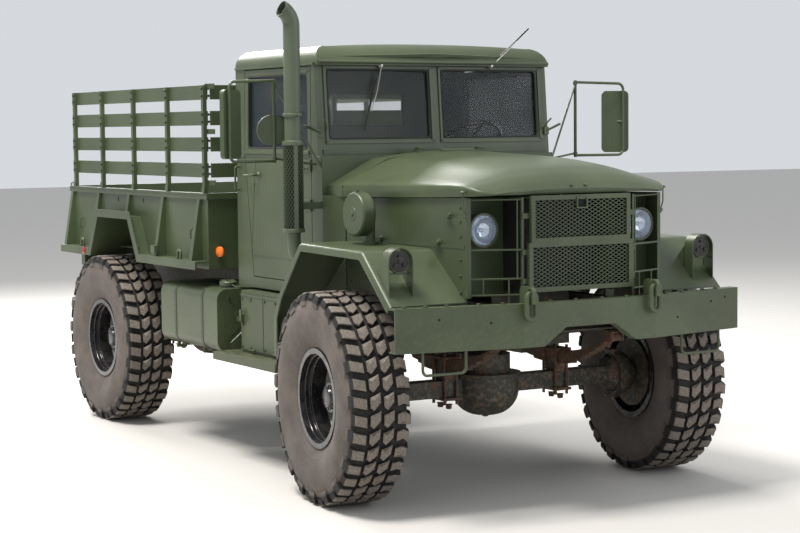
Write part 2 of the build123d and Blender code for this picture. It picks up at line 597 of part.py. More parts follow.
rest = radians(STEER_AT_REST)
pin_x = -STEERING_ARM * cos(rest)
pin_offset = STEERING_ARM * sin(rest)
eye_z = (ARM_Z[1] + RUNNING_GAP, ARM_Z[1] + RUNNING_GAP + EYE_HEIGHT)
tie_z = (eye_z[0] + eye_z[1]) / 2
tie_rod = rod((pin_x, -KINGPIN_Y + pin_offset, tie_z), (pin_x, KINGPIN_Y + pin_offset, tie_z),
              TIE_ROD_RADIUS)
for end in (1, -1):
    eye_y = end * KINGPIN_Y + pin_offset
    tie_rod += rod((pin_x, eye_y, eye_z[0]), (pin_x, eye_y, eye_z[1]), EYE)
for end in (1, -1):
    eye_y = end * KINGPIN_Y + pin_offset
    tie_rod -= rod((pin_x, eye_y, eye_z[0] - EYE), (pin_x, eye_y, eye_z[1] + EYE),
                   ARM_PIN + RUNNING_GAP)
save("tie_rod", tie_rod)

# Wheels: a deep-dished disc welded inside a flat-base rim, with the hub and brake drum behind it.
RIM_LIP = 10
RIM_SHEET = 12
DISC_Y = -44
DISC_SHEET = 14
HUB_RADIUS = 86
HUB_REACH = 62
HUB_CAP_RADIUS = 58
HUB_CAP_REACH = 84

barrel = BEAD_RADIUS - RUNNING_GAP
rim_bore = barrel - RIM_SHEET
rim_half = RIM_WIDTH / 2
WHEEL_PROFILE = [(rim_half, rim_bore + 4), (rim_half, RIM_FLANGE_RADIUS),
                 (rim_half - RIM_LIP, RIM_FLANGE_RADIUS), (rim_half - RIM_LIP, barrel),
                 (-rim_half + RIM_LIP, barrel), (-rim_half + RIM_LIP, RIM_FLANGE_RADIUS),
                 (-rim_half, RIM_FLANGE_RADIUS), (-rim_half, rim_bore),
                 (DISC_Y - 8, rim_bore), (DISC_Y, rim_bore - 16),
                 (DISC_Y, HUB_RADIUS - 4), (DISC_Y + DISC_SHEET, HUB_RADIUS - 4),
                 (DISC_Y + DISC_SHEET, rim_bore - 24), (DISC_Y + DISC_SHEET + 20, rim_bore - 12),
                 (rim_half - 70, rim_bore - 8), (rim_half - 64, rim_bore)]
bore = SPINDLE_RADIUS + RUNNING_GAP
drum_back = -DRUM_INNER
drum_face = drum_back + DRUM_DEPTH
bore_end = SPINDLE_REACH + 8
HUB_PROFILE = [(drum_back, bore), (drum_back, DRUM_RADIUS), (drum_face, DRUM_RADIUS),
               (DISC_Y - 2, DRUM_RADIUS - 14), (DISC_Y - 2, HUB_RADIUS), (HUB_REACH, HUB_RADIUS),
               (HUB_REACH, HUB_CAP_RADIUS), (HUB_CAP_REACH, HUB_CAP_RADIUS - 8),
               (HUB_CAP_REACH, 0), (bore_end, 0), (bore_end, bore)]


def wheel_at(x, y):
    return turned(WHEEL_PROFILE, x, y, TYRE_RADIUS) + turned(HUB_PROFILE, x, y, TYRE_RADIUS)


# Tyres: beads on the rim, a bulging wall, and a tread flatter than the wall is round.
BEAD_HALF = RIM_WIDTH / 2 - RIM_LIP - 1
WALL_RADIUS = 420
SHOULDER_RADIUS = TYRE_RADIUS - 50


def tyre_at(x, y):
    half, tread = TYRE_WIDTH / 2, TREAD_WIDTH / 2
    z = TYRE_RADIUS
    right = [(BEAD_HALF, BEAD_RADIUS), (BEAD_HALF, RIM_FLANGE_RADIUS + 3),
             (half, WALL_RADIUS), (tread, SHOULDER_RADIUS), (tread - 15, TYRE_RADIUS)]
    left = [(-across, radius) for across, radius in right]
    at = [(x, y + across, z + radius) for across, radius in right]
    to = [(x, y + across, z + radius) for across, radius in left]
    outline = [Line(at[0], at[1]), ThreePointArc(at[1], at[2], at[3]), Line(at[3], at[4]),
               Line(at[4], to[4]), Line(to[4], to[3]), ThreePointArc(to[3], to[2], to[1]),
               Line(to[1], to[0]), Line(to[0], at[0])]
    return revolve(make_face(outline), Axis((x, y, z), (0, 1, 0)))


front_wheel = wheel_at(0, FRONT_TYRE_Y)
front_tyre = tyre_at(0, FRONT_TYRE_Y)
rear_wheel = wheel_at(-WHEELBASE, REAR_TYRE_Y)
rear_tyre = tyre_at(-WHEELBASE, REAR_TYRE_Y)
for name, side in (("left", 1), ("right", -1)):
    save("wheel_front_" + name, steered(side, front_wheel))
    save("tyre_front_" + name, steered(side, front_tyre))
    save("wheel_rear_" + name, rear_wheel if side > 0 else other_side(rear_wheel))
    save("tyre_rear_" + name, rear_tyre if side > 0 else other_side(rear_tyre))

# Front end: a shell behind the headlights, flared side panels, the radiator and the fenders.
FLANK_FRONT = (655, 655)
FLANK_REAR = (-470, CAB_HALF_WIDTH - 68)
FLANK_SHEET = 8
SHELL_X = (545, 555)
SHELL_Z = (RAIL_TOP_Z + 50, RAIL_TOP_Z + 595)
SHELL_OPENING = (335, SHELL_Z[0] + 20, SHELL_Z[1] - 10)
SHELL_RETURN_X = 660
RADIATOR_X = 470
RADIATOR_Z = (SHELL_Z[0] + 10, SHELL_Z[1] - 5)
RADIATOR_HALF = 330
PANEL_Z = RAIL_TOP_Z + 10
PANEL_TOP = (RAIL_TOP_Z + 580, RAIL_TOP_Z + 603)


def flank_y(x):
    """Where the inner face of the left side panel stands at a station x."""
    slope = (FLANK_REAR[1] - FLANK_FRONT[1]) / (FLANK_FRONT[0] - FLANK_REAR[0])
    return FLANK_FRONT[1] + slope * (FLANK_FRONT[0] - x)


def flank_strip(x, offset, z):
    """A strip along the side panel's line between two x, two offsets from it and two z."""
    points = [(x[0], flank_y(x[0]) + offset[0]), (x[1], flank_y(x[1]) + offset[0]),
              (x[1], flank_y(x[1]) + offset[1]), (x[0], flank_y(x[0]) + offset[1])]
    return plan_plate(points, *z)


shell_plate = front_plate([(-flank_y(SHELL_X[0]), SHELL_Z[0]), (flank_y(SHELL_X[0]), SHELL_Z[0]),
                           (flank_y(SHELL_X[0]), SHELL_Z[1]), (-flank_y(SHELL_X[0]), SHELL_Z[1])],
                          *SHELL_X)
shell_plate -= block(SHELL_X, (-SHELL_OPENING[0], SHELL_OPENING[0]), SHELL_OPENING[1:])
shell_return = flank_strip((SHELL_X[1], SHELL_RETURN_X), (-FLANK_SHEET, 0), SHELL_Z)
baffle = block((SHELL_X[1], SHELL_RETURN_X), (SHELL_OPENING[0], SHELL_OPENING[0] + 10), SHELL_Z)
foot = block(SHELL_X, (RAIL_OUTER_Y - RAIL_FLANGE + 5, RAIL_OUTER_Y - 5), (RAIL_TOP_Z, SHELL_Z[0]))
front_shell = shell_plate
for piece in (shell_return, baffle, foot):
    front_shell += piece + other_side(piece)
shell_trim = flank_strip((SHELL_X[0] - 5, SHELL_X[1]), (0, 40), SHELL_Z)
front_shell -= shell_trim + other_side(shell_trim)
save("front_shell", front_shell)
save("radiator", block((RADIATOR_X, SHELL_X[0]), (-RADIATOR_HALF, RADIATOR_HALF), RADIATOR_Z))

panel = flank_strip((FLANK_REAR[0], FLANK_FRONT[0]), (0, FLANK_SHEET), (PANEL_Z, PANEL_TOP[1]))
panel &= side_plate([(FLANK_REAR[0], PANEL_Z), (FLANK_REAR[0], PANEL_TOP[0]),
                     (FLANK_FRONT[0], PANEL_TOP[1]), (FLANK_FRONT[0], PANEL_Z)], 0, SILL_HALF_WIDTH)
save("side_panels", both_sides(panel))

# Fenders: a flat top with sloping ends, its outer edge turned down all round.
FENDER_OUTER_Y = 1150
FENDER_SHEET = 10
FENDER_LIP = 48
FENDER_LIP_SHEET = 12
FENDER_INNER_Y = 600
FENDER_CUT_DEPTH = 400
FENDER_CUT_Z = (RAIL_TOP_Z - 450, RAIL_TOP_Z + 450)
FENDER_LINE = [(-742, RAIL_TOP_Z - 370), (-742, RAIL_TOP_Z - 130), (-670, RAIL_TOP_Z + 10),
               (-445, RAIL_TOP_Z + 270), (-400, RAIL_TOP_Z + 328), (300, RAIL_TOP_Z + 315),
               (360, RAIL_TOP_Z + 300), (655, RAIL_TOP_Z + 28)]

fender = band(FENDER_LINE, FENDER_SHEET, FENDER_INNER_Y, FENDER_OUTER_Y)
fender -= flank_strip((FLANK_REAR[0], 700), (-FENDER_CUT_DEPTH, FLANK_SHEET),
                      (PANEL_Z - 20, FENDER_CUT_Z[1]))
fender -= block((-800, FLANK_REAR[0]), (500, CAB_HALF_WIDTH), FENDER_CUT_Z)
fender += band(FENDER_LINE, FENDER_LIP, FENDER_OUTER_Y - FENDER_LIP_SHEET, FENDER_OUTER_Y)
save("fender_left", fender)
save("fender_right", other_side(fender))

# Headlights in deep buckets on the shell, and a round lamp in a hoop guard on each fender.
HEADLIGHT_Y = 541
HEADLIGHT_Z = RAIL_TOP_Z + 421
HEADLIGHT_RADIUS = 95
HEADLIGHT_X = (SHELL_X[1], 655)
FENDER_LAMP = (589, 1047, RAIL_TOP_Z + 265)
FENDER_LAMP_RADIUS = 62
FENDER_LAMP_DEPTH = 62
HOOP_RADIUS = 78
HOOP_BAR = 5

headlight = rod((HEADLIGHT_X[0], HEADLIGHT_Y, HEADLIGHT_Z),
                (HEADLIGHT_X[1] - 20, HEADLIGHT_Y, HEADLIGHT_Z), HEADLIGHT_RADIUS - 10)
headlight += rod((HEADLIGHT_X[1] - 24, HEADLIGHT_Y, HEADLIGHT_Z),
                 (HEADLIGHT_X[1], HEADLIGHT_Y, HEADLIGHT_Z), HEADLIGHT_RADIUS)
save("headlights", both_sides(headlight))

lamp_x, lamp_y, lamp_z = FENDER_LAMP
lamp = rod((lamp_x - FENDER_LAMP_DEPTH, lamp_y, lamp_z), (lamp_x, lamp_y, lamp_z),
           FENDER_LAMP_RADIUS)
lamp += block((lamp_x - 42, lamp_x - 24), (lamp_y - 30, lamp_y + 30),
              (RAIL_TOP_Z + 50, lamp_z - 40))
hoop_x = lamp_x - 22
hoop_plane = Plane(origin=(hoop_x, lamp_y, lamp_z), x_dir=(0, 1, 0), z_dir=(1, 0, 0))
hoop_outer = hoop_plane * (Circle(HOOP_RADIUS + HOOP_BAR)
                           + Pos(0, -125) * Rectangle(2 * (HOOP_RADIUS + HOOP_BAR), 250))
hoop_inner = hoop_plane * (Circle(HOOP_RADIUS - HOOP_BAR)
                           + Pos(0, -130) * Rectangle(2 * (HOOP_RADIUS - HOOP_BAR), 260))
hoop = extrude(hoop_outer - hoop_inner, amount=40, both=True)
under_fender = side_plate([*FENDER_LINE, (655, FENDER_CUT_Z[0]), (-742, FENDER_CUT_Z[0])],
                          FENDER_INNER_Y, FENDER_OUTER_Y)
tie = block((lamp_x - 40, lamp_x - 10), (lamp_y - HOOP_RADIUS - 2, lamp_y + HOOP_RADIUS + 2),
            (lamp_z - 78, lamp_z - 62))
fender_lamp = (lamp + hoop + tie) - under_fender
save("fender_lamps", both_sides(fender_lamp))

# Brush guard: swept wings of thin rods in front of the headlights, and a grille of two framed
# panels between them.
GUARD_INNER = (790, 380)
GUARD_OUTER_X = (660, 682)
GUARD_POST = 7
GUARD_ROD = 6
GUARD_TOP_Z = RAIL_TOP_Z + 602
GUARD_RODS_Z = (GUARD_TOP_Z - 10, RAIL_TOP_Z + 315, RAIL_TOP_Z + 155, RAIL_TOP_Z + 65)
GRILLE_X = (803, 825)
GRILLE_HALF = {"upper": 339, "lower": 355}
GRILLE_SPLIT_Z = RAIL_TOP_Z + 350
GRILLE_Z = (RAIL_TOP_Z + 77, RAIL_TOP_Z + 610)
GRILLE_FRAME = 26
MESH_SHEET = 3
TAB_Z = (RAIL_TOP_Z + 140, RAIL_TOP_Z + 300, RAIL_TOP_Z + 500)

post_y = (GUARD_INNER[1] - GUARD_POST, GUARD_INNER[1] + GUARD_POST)
post_x = (GUARD_INNER[0] - GUARD_POST, GUARD_INNER[0] + GUARD_POST)
guard = block(post_x, post_y, (RAIL_TOP_Z, GUARD_TOP_Z))
outer_post = flank_strip(GUARD_OUTER_X, (-FLANK_SHEET, 14), (SHELL_Z[0], GUARD_TOP_Z))
guard += outer_post
outer_foot = (sum(GUARD_OUTER_X) / 2, flank_y(GUARD_OUTER_X[0]) + 3)
for rod_z in GUARD_RODS_Z:
    guard += rod((GUARD_INNER[0], GUARD_INNER[1], rod_z), (*outer_foot, rod_z), GUARD_ROD)
save("brush_guard", both_sides(guard))

grille = None
for half, z in ((GRILLE_HALF["upper"], (GRILLE_SPLIT_Z, GRILLE_Z[1])),
                (GRILLE_HALF["lower"], (GRILLE_Z[0], GRILLE_SPLIT_Z))):
    panel = block(GRILLE_X, (-half, half), z)
    panel -= block(GRILLE_X, (-half + GRILLE_FRAME, half - GRILLE_FRAME),
                   (z[0] + GRILLE_FRAME, z[1] - GRILLE_FRAME))
    panel += block((GRILLE_X[0] + 8, GRILLE_X[0] + 8 + MESH_SHEET), (-half + 5, half - 5),
                   (z[0] + 5, z[1] - 5))
    grille = panel if grille is None else grille + panel
for tab_z in TAB_Z:
    tab = block((post_x[1], GRILLE_X[0] + 8), (GRILLE_HALF["upper"] - 12, post_y[1]),
                (tab_z - 15, tab_z + 15))
    grille += tab + other_side(tab)
save("grille", grille)

# Hood: a long shell with sloping shoulders and a rounded crown, hinged at the cowl. Each station
# holds half width, lower edge, shoulder, crown edge across and up, and the height of the crown.
HOOD_STATIONS = [
    # x, half width, crown edge y, then heights over the rails: lower edge, shoulder, crown edge, crown
    (HOOD_REAR_X, CAB_HALF_WIDTH - 40, 500, 585, 650, 805, 848),
    (150, 738, 460, 595, 660, 790, 822),
    (550, 690, 420, 605, 665, 755, 782),
    (680, 666, 408, 609, 658, 722, 743),
    (755, 625, 396, 613, 640, 681, 696),
    (800, 560, 380, 616, 625, 640, 650),
]
HOOD_HINGE_X = -478
HOOD_HINGE_RADIUS = 8
HOOD_HINGE_HALF = 120


def hood_section(x, half, crown_y, low, shoulder, crown_edge, crown, inset):
    """The hood's outline at a station, set in by inset and open at the bottom if inset."""
    low += RAIL_TOP_Z - 20 * (inset > 0)
    shoulder += RAIL_TOP_Z
    crown_edge += RAIL_TOP_Z
    crown += RAIL_TOP_Z
    points = [(half - inset, low), (half - inset, shoulder - inset * 0.7),
              (crown_y - inset * 0.3, crown_edge - inset)]
    right = [Vector(x, y, z) for y, z in points]
    left = [Vector(x, -y, z) for y, z in points]
    edges = [Line(left[0], left[1]), Line(left[1], left[2]),
             ThreePointArc(left[2], (x, 0, crown - inset), right[2]),
             Line(right[2], right[1]), Line(right[1], right[0]), Line(right[0], left[0])]
    return make_face(edges)


def hood_loft(inset, ends=(0, 0)):
    """The hood's solid, its first and last stations moved along X by the two ends."""
    faces = []
    for i, station in enumerate(HOOD_STATIONS):
        shift = ends[0] * (i == 0) + ends[1] * (i == len(HOOD_STATIONS) - 1)
        faces.append(hood_section(station[0] + shift, *station[1:], inset))
    return loft(faces, ruled=True)


hood = hood_loft(0) - hood_loft(HOOD_SHEET, (-20, -HOOD_SHEET))
cowl_x = HOOD_REAR_X - PANEL_GAP
hood_back_z = RAIL_TOP_Z + HOOD_STATIONS[0][6]
hinge_z = hood_back_z + HOOD_HINGE_RADIUS + RUNNING_GAP
hood += rod((HOOD_HINGE_X, -HOOD_HINGE_HALF, hinge_z), (HOOD_HINGE_X, HOOD_HINGE_HALF, hinge_z),
            HOOD_HINGE_RADIUS)
hood += block((HOOD_HINGE_X, HOOD_REAR_X + 50), (-HOOD_HINGE_HALF, HOOD_HINGE_HALF),
              (hood_back_z - 8, hinge_z))
save("hood", hood)

# Air intake on the right fender: a bent pipe that ends in a shallow drum facing outwards.
INTAKE = (-100, -950, RAIL_TOP_Z + 497)
INTAKE_RADIUS = 128
INTAKE_DEPTH = 88
INTAKE_PIPE_X = -70
INTAKE_PIPE_Y = -850
INTAKE_PIPE_RADIUS = 28
INTAKE_FOOT_Z = (RAIL_TOP_Z + 290, RAIL_TOP_Z + 340)
INTAKE_FOOT_RADIUS = 46

intake = rod((INTAKE[0], INTAKE[1], INTAKE[2]), (INTAKE[0], INTAKE[1] + INTAKE_DEPTH, INTAKE[2]),
             INTAKE_RADIUS)
intake = fillet(intake.edges().filter_by(GeomType.CIRCLE), 16)
intake += rod((INTAKE_PIPE_X, INTAKE_PIPE_Y, INTAKE_FOOT_Z[0]),
              (INTAKE_PIPE_X, INTAKE_PIPE_Y, INTAKE[2]), INTAKE_PIPE_RADIUS)
intake += rod((INTAKE_PIPE_X, INTAKE_PIPE_Y, INTAKE_FOOT_Z[0]),
              (INTAKE_PIPE_X, INTAKE_PIPE_Y, INTAKE_FOOT_Z[1]), INTAKE_FOOT_RADIUS)
intake -= other_side(under_fender)
save("air_intake", intake)

# Cab body: the cowl behind the hood, the front wall, the floor, the rockers, the pillars below
# the belt and the rear wall, all open above the belt.
FRONT_WALL_X = (-700, CAB_FRONT_X)
LEDGE_X = -742
LEDGE_Z = BELT_Z - 30
PILLAR_FRONT_X = DOOR_FRONT_X + PANEL_GAP
DOOR_BOTTOM_Z = CAB_FLOOR_Z + 5
DOOR_REAR_X = {"bottom": -1605, "belt": -1715, "top": -1700}
ROCKER = 20
COWL_SIDE_TOP_Z = RAIL_TOP_Z + 590

half = CAB_HALF_WIDTH
wall = CAB_WALL
cab = block(FRONT_WALL_X, (-half, half), (CAB_BOTTOM_Z, BELT_Z))
cab += block((LEDGE_X, FRONT_WALL_X[1]), (-half, half), (LEDGE_Z, BELT_Z))
cab += block((CAB_REAR_X, FRONT_WALL_X[1]), (-half, half), (CAB_FLOOR_Z - CAB_FLOOR_SHEET, CAB_FLOOR_Z))
cab += block((CAB_REAR_X, CAB_REAR_X + wall), (-half, half), (CAB_BOTTOM_Z, BELT_Z))
for side in (1, -1):
    rocker_y = sorted((side * half, side * (half - ROCKER)))
    pillar_y = sorted((side * half, side * (half - wall - 8)))
    cab += block((CAB_REAR_X, FRONT_WALL_X[1]), rocker_y, (CAB_BOTTOM_Z, CAB_FLOOR_Z))
    cab += block((PILLAR_FRONT_X, FRONT_WALL_X[1]), pillar_y, (CAB_FLOOR_Z, BELT_Z))
    cab += side_plate([(CAB_REAR_X, CAB_FLOOR_Z), (DOOR_REAR_X["bottom"] - PANEL_GAP, CAB_FLOOR_Z),
                       (DOOR_REAR_X["belt"] - PANEL_GAP, BELT_Z), (CAB_REAR_X, BELT_Z)], *pillar_y)

cab -= block((CAB_REAR_X, FRONT_WALL_X[1]), (-RAIL_OUTER_Y - 12, RAIL_OUTER_Y + 12),
             (CAB_BOTTOM_Z, CAB_FLOOR_Z - CAB_FLOOR_SHEET))
cowl_station = HOOD_STATIONS[0]
cowl_length = cowl_x - CAB_FRONT_X
cowl = extrude(hood_section(CAB_FRONT_X, *cowl_station[1:], 0), amount=cowl_length, dir=(1, 0, 0))
cowl_void = extrude(hood_section(CAB_FRONT_X, *cowl_station[1:], HOOD_SHEET),
                    amount=cowl_length - HOOD_SHEET, dir=(1, 0, 0))
cowl -= cowl_void
cowl_side = plan_plate([(cowl_x, flank_y(cowl_x)), (cowl_x, flank_y(cowl_x) + FLANK_SHEET),
                        (CAB_FRONT_X, half), (CAB_FRONT_X, half - FLANK_SHEET)], PANEL_Z,
                       COWL_SIDE_TOP_Z)
cab += cowl + cowl_side + other_side(cowl_side)
save("cab_body", cab)

# Windshield frame: two openings in a plate that leans back, with a pane in each.
WINDSHIELD_FOOT_X = -698
WINDSHIELD_HEAD_X = -744
WINDSHIELD_THICK = 30
PANE_Y = (46, CAB_HALF_WIDTH - 82)
PANE_Z = (BELT_Z + 101, ROOF_EDGE_Z - 26)
GLASS = 6
ROOF_WALL = 25


def leaning(back, thick, y0, y1):
    """A plate parallel to the windshield's face, set back from it."""
    foot, head = WINDSHIELD_FOOT_X - back, WINDSHIELD_HEAD_X - back
    return side_plate([(foot, BELT_Z), (head, ROOF_EDGE_Z), (head - thick, ROOF_EDGE_Z),
                       (foot - thick, BELT_Z)], y0, y1)


pane_cut = block((WINDSHIELD_HEAD_X - 200, WINDSHIELD_FOOT_X + 100), PANE_Y, PANE_Z)
post_inner_y = half - wall
windshield = leaning(0, WINDSHIELD_THICK, -post_inner_y, post_inner_y)
windshield -= pane_cut + other_side(pane_cut)
save("windshield_frame", windshield)

# Hard top: posts beside the windshield and the doors, a rear wall with a window, and the roof.
ROOF_FRONT_X = -706
REAR_WINDOW_Y = 420
REAR_WINDOW_Z = (BELT_Z + 185, BELT_Z + 405)
ROOF_SHOULDER_Z = ROOF_EDGE_Z + 25
ROOF_CROWN_EDGE = (CAB_HALF_WIDTH - 110, ROOF_TOP_Z - 22)


def roof_solid(inset):
    """The roof: its section across, cut by its outline from the side."""
    edge, shoulder = half - inset, ROOF_SHOULDER_Z - inset * 0.5
    crown_y, crown_z = ROOF_CROWN_EDGE[0] - inset * 0.6, ROOF_CROWN_EDGE[1] - inset
    top = ROOF_TOP_Z - inset
    x = CAB_REAR_X - 50
    low = ROOF_EDGE_Z - (inset > 0) * 10
    bulge = ((edge * 2 + crown_y) / 3 + 10, (shoulder + crown_z * 2) / 3 + 4)
    edges = [Line((x, -edge, low), (x, -edge, shoulder)),
             ThreePointArc((x, -edge, shoulder), (x, -bulge[0], bulge[1]), (x, -crown_y, crown_z)),
             ThreePointArc((x, -crown_y, crown_z), (x, 0, top), (x, crown_y, crown_z)),
             ThreePointArc((x, crown_y, crown_z), (x, bulge[0], bulge[1]), (x, edge, shoulder)),
             Line((x, edge, shoulder), (x, edge, low)), Line((x, edge, low), (x, -edge, low))]
    across = extrude(make_face(edges), amount=1300, dir=(1, 0, 0))
    front, rear = ROOF_FRONT_X - inset, CAB_REAR_X + inset
    high = ROOF_TOP_Z - inset
    outline = [Line((rear, -half, low), (rear, -half, shoulder)),
               ThreePointArc((rear, -half, shoulder), (rear + 28, -half, high - 42),
                             (rear + 110, -half, high + 2)),
               Line((rear + 110, -half, high + 2), (front - 190, -half, high + 2)),
               ThreePointArc((front - 190, -half, high + 2), (front - 48, -half, high - 52),
                             (front, -half, shoulder - 10)),
               Line((front, -half, shoulder - 10), (front, -half, low)),
               Line((front, -half, low), (rear, -half, low))]
    return across & extrude(make_face(outline), amount=2 * half, dir=(0, 1, 0))


hard_top = roof_solid(0) - roof_solid(ROOF_WALL)
hard_top += block((CAB_REAR_X, CAB_REAR_X + wall), (-half, half), (BELT_Z, ROOF_EDGE_Z + 12))
hard_top -= block((CAB_REAR_X, CAB_REAR_X + wall), (-REAR_WINDOW_Y, REAR_WINDOW_Y), REAR_WINDOW_Z)
for side in (1, -1):
    post_y = sorted((side * half, side * post_inner_y))
    hard_top += side_plate([(WINDSHIELD_FOOT_X, BELT_Z), (WINDSHIELD_HEAD_X, ROOF_EDGE_Z),
                            (PILLAR_FRONT_X, ROOF_EDGE_Z), (PILLAR_FRONT_X, BELT_Z)], *post_y)
    hard_top += side_plate([(CAB_REAR_X, BELT_Z), (CAB_REAR_X, ROOF_EDGE_Z),
                            (DOOR_REAR_X["top"] - PANEL_GAP, ROOF_EDGE_Z),
                            (DOOR_REAR_X["belt"] - PANEL_GAP, BELT_Z)], *post_y)
save("hard_top", hard_top)

panes = leaning(12, GLASS, -post_inner_y, post_inner_y) & (pane_cut + other_side(pane_cut))
rear_pane = block((CAB_REAR_X + 12, CAB_REAR_X + 12 + GLASS), (-REAR_WINDOW_Y, REAR_WINDOW_Y),
                  REAR_WINDOW_Z)
save("cab_glass", Compound(panes.solids() + rear_pane.solids()))

# Doors: a pressed panel with a window frame above the belt, a pane, a handle and three hinges.
WINDOW_BORDER = 44
WINDOW_SILL_Z = BELT_Z + 45
WINDOW_HEAD_Z = ROOF_EDGE_Z - PANEL_GAP - WINDOW_BORDER
HINGE_RADIUS = 7
HINGE_X = DOOR_FRONT_X + 3
HINGES_Z = (CAB_FLOOR_Z + 140, CAB_FLOOR_Z + 450, CAB_FLOOR_Z + 690)
HINGE_HEIGHT = 70
DOOR_HANDLE = (-1520, BELT_Z - 125)

door_inner_y = half - DOOR_THICK
door_top_z = ROOF_EDGE_Z - PANEL_GAP
belt_rear = DOOR_REAR_X["belt"]
door = side_plate([(DOOR_FRONT_X, DOOR_BOTTOM_Z), (DOOR_FRONT_X, door_top_z),
                   (DOOR_REAR_X["top"], door_top_z), (belt_rear, BELT_Z),
                   (DOOR_REAR_X["bottom"], DOOR_BOTTOM_Z)], door_inner_y, half)
window = [(DOOR_FRONT_X - WINDOW_BORDER, WINDOW_SILL_Z), (DOOR_FRONT_X - WINDOW_BORDER, WINDOW_HEAD_Z),
          (DOOR_REAR_X["top"] + WINDOW_BORDER, WINDOW_HEAD_Z),
          (belt_rear + WINDOW_BORDER, WINDOW_SILL_Z)]
door -= side_plate(window, door_inner_y, half)
hinge_y = half + HINGE_RADIUS + RUNNING_GAP
for z in HINGES_Z:
    door += rod((HINGE_X, hinge_y, z), (HINGE_X, hinge_y, z + HINGE_HEIGHT), HINGE_RADIUS)
    door += block((HINGE_X - 90, HINGE_X), (half, half + HINGE_RADIUS), (z, z + HINGE_HEIGHT))
handle = bent_rod([(DOOR_HANDLE[0], half - 2, DOOR_HANDLE[1]), (DOOR_HANDLE[0], half + 48, DOOR_HANDLE[1]),
                   (DOOR_HANDLE[0] - 120, half + 48, DOOR_HANDLE[1] - 6)], 12, 8)
door += handle
pane = side_plate(window, door_inner_y + 12, door_inner_y + 12 + GLASS)
for name, side in (("left", 1), ("right", -1)):
    save("door_" + name, door if side > 0 else other_side(door))
    save("door_glass_" + name, pane if side > 0 else other_side(pane))

# Inside the cab: two seats on boxes, the dashboard, and the steering column and wheel.
SEATS = [
    # inner y, outer y
    (270, CAB_HALF_WIDTH - 105),
    (85 - CAB_HALF_WIDTH, -60),
]
CUSHION_X = (-1700, -1250)
CUSHION_Z = (CAB_FLOOR_Z + 300, CAB_FLOOR_Z + 410)
SEAT_BACK_X = (-1800, -1710)
SEAT_BACK_Z = (CAB_FLOOR_Z + 420, CAB_FLOOR_Z + 870)
DASH_X = (-870, FRONT_WALL_X[0])
DASH_Z = (BELT_Z - 245, BELT_Z - 45)
STEERING_CENTRE = (-1150, CAB_HALF_WIDTH - 345, BELT_Z + 55)
STEERING_RADIUS = 235
STEERING_RIM = 14
COLUMN_RUN = (300, -400)
COLUMN_RADIUS = 24

seat_frames = []
seat_cushions = []
for y0, y1 in SEATS:
    base = block((CUSHION_X[0] + 20, CUSHION_X[1] - 20), (y0 + 20, y1 - 20), (CAB_FLOOR_Z, CUSHION_Z[0]))
    back = block((SEAT_BACK_X[0] - 10, SEAT_BACK_X[0]), (y0 + 20, y1 - 20), (CUSHION_Z[0], SEAT_BACK_Z[1] - 20))
    shelf = block((SEAT_BACK_X[0], CUSHION_X[0] + 20), (y0 + 20, y1 - 20), (CUSHION_Z[0] - 20, CUSHION_Z[0]))
    seat_frames.append(base + back + shelf)
    cushion = block(CUSHION_X, (y0, y1), CUSHION_Z)
    back_pad = block(SEAT_BACK_X, (y0, y1), SEAT_BACK_Z)
    seat_cushions += [fillet(cushion.edges(), 30), fillet(back_pad.edges(), 30)]
save("seat_frames", Compound(seat_frames))
save("seat_cushions", Compound(seat_cushions))
save("dashboard", block(DASH_X, (-post_inner_y + 20, post_inner_y - 20), DASH_Z))

centre = Vector(*STEERING_CENTRE)
down = Vector(COLUMN_RUN[0], 0, COLUMN_RUN[1]).normalized()
wheel_plane = Plane(origin=centre, x_dir=(0, 1, 0), z_dir=down)
steering_wheel = wheel_plane * Torus(STEERING_RADIUS, STEERING_RIM)
hub_reach = 60
steering_wheel += extrude(wheel_plane * Circle(38), amount=hub_reach)
for spoke in range(3):
    arm = wheel_plane * Rot(0, 0, 120 * spoke + 90) * Pos(STEERING_RADIUS / 2, 0, 8)
    steering_wheel += arm * Box(STEERING_RADIUS, 26, 10)
save("steering_wheel", steering_wheel)
column_top = centre + down * (hub_reach + RUNNING_GAP)
column_reach = (FRONT_WALL_X[0] - column_top.X) / down.X + 60
column = extrude(Plane(origin=column_top, z_dir=down) * Circle(COLUMN_RADIUS), amount=column_reach)
column &= block((CAB_REAR_X, FRONT_WALL_X[0]), (0, half), (CAB_FLOOR_Z, ROOF_EDGE_Z))
save("steering_column", column)

# Exhaust stack on the right: a pipe out of the chassis, a guard round it and a clamped tail pipe.
STACK_X = -672
STACK_Y = -CAB_HALF_WIDTH - 189
STACK_ELBOW_Z = RAIL_TOP_Z + 205
STACK_ELBOW_END = (-570, -790)
STACK_GUARD_Z = (RAIL_TOP_Z + 373, RAIL_TOP_Z + 916)
STACK_GUARD_RADIUS = 61
STACK_PIPE_RADIUS = 40
TAIL_PIPE_RADIUS = 50
TAIL_PIPE_TOP_Z = ROOF_TOP_Z + 256
STACK_BRACKET_Z = (RAIL_TOP_Z + 510, RAIL_TOP_Z + 550)

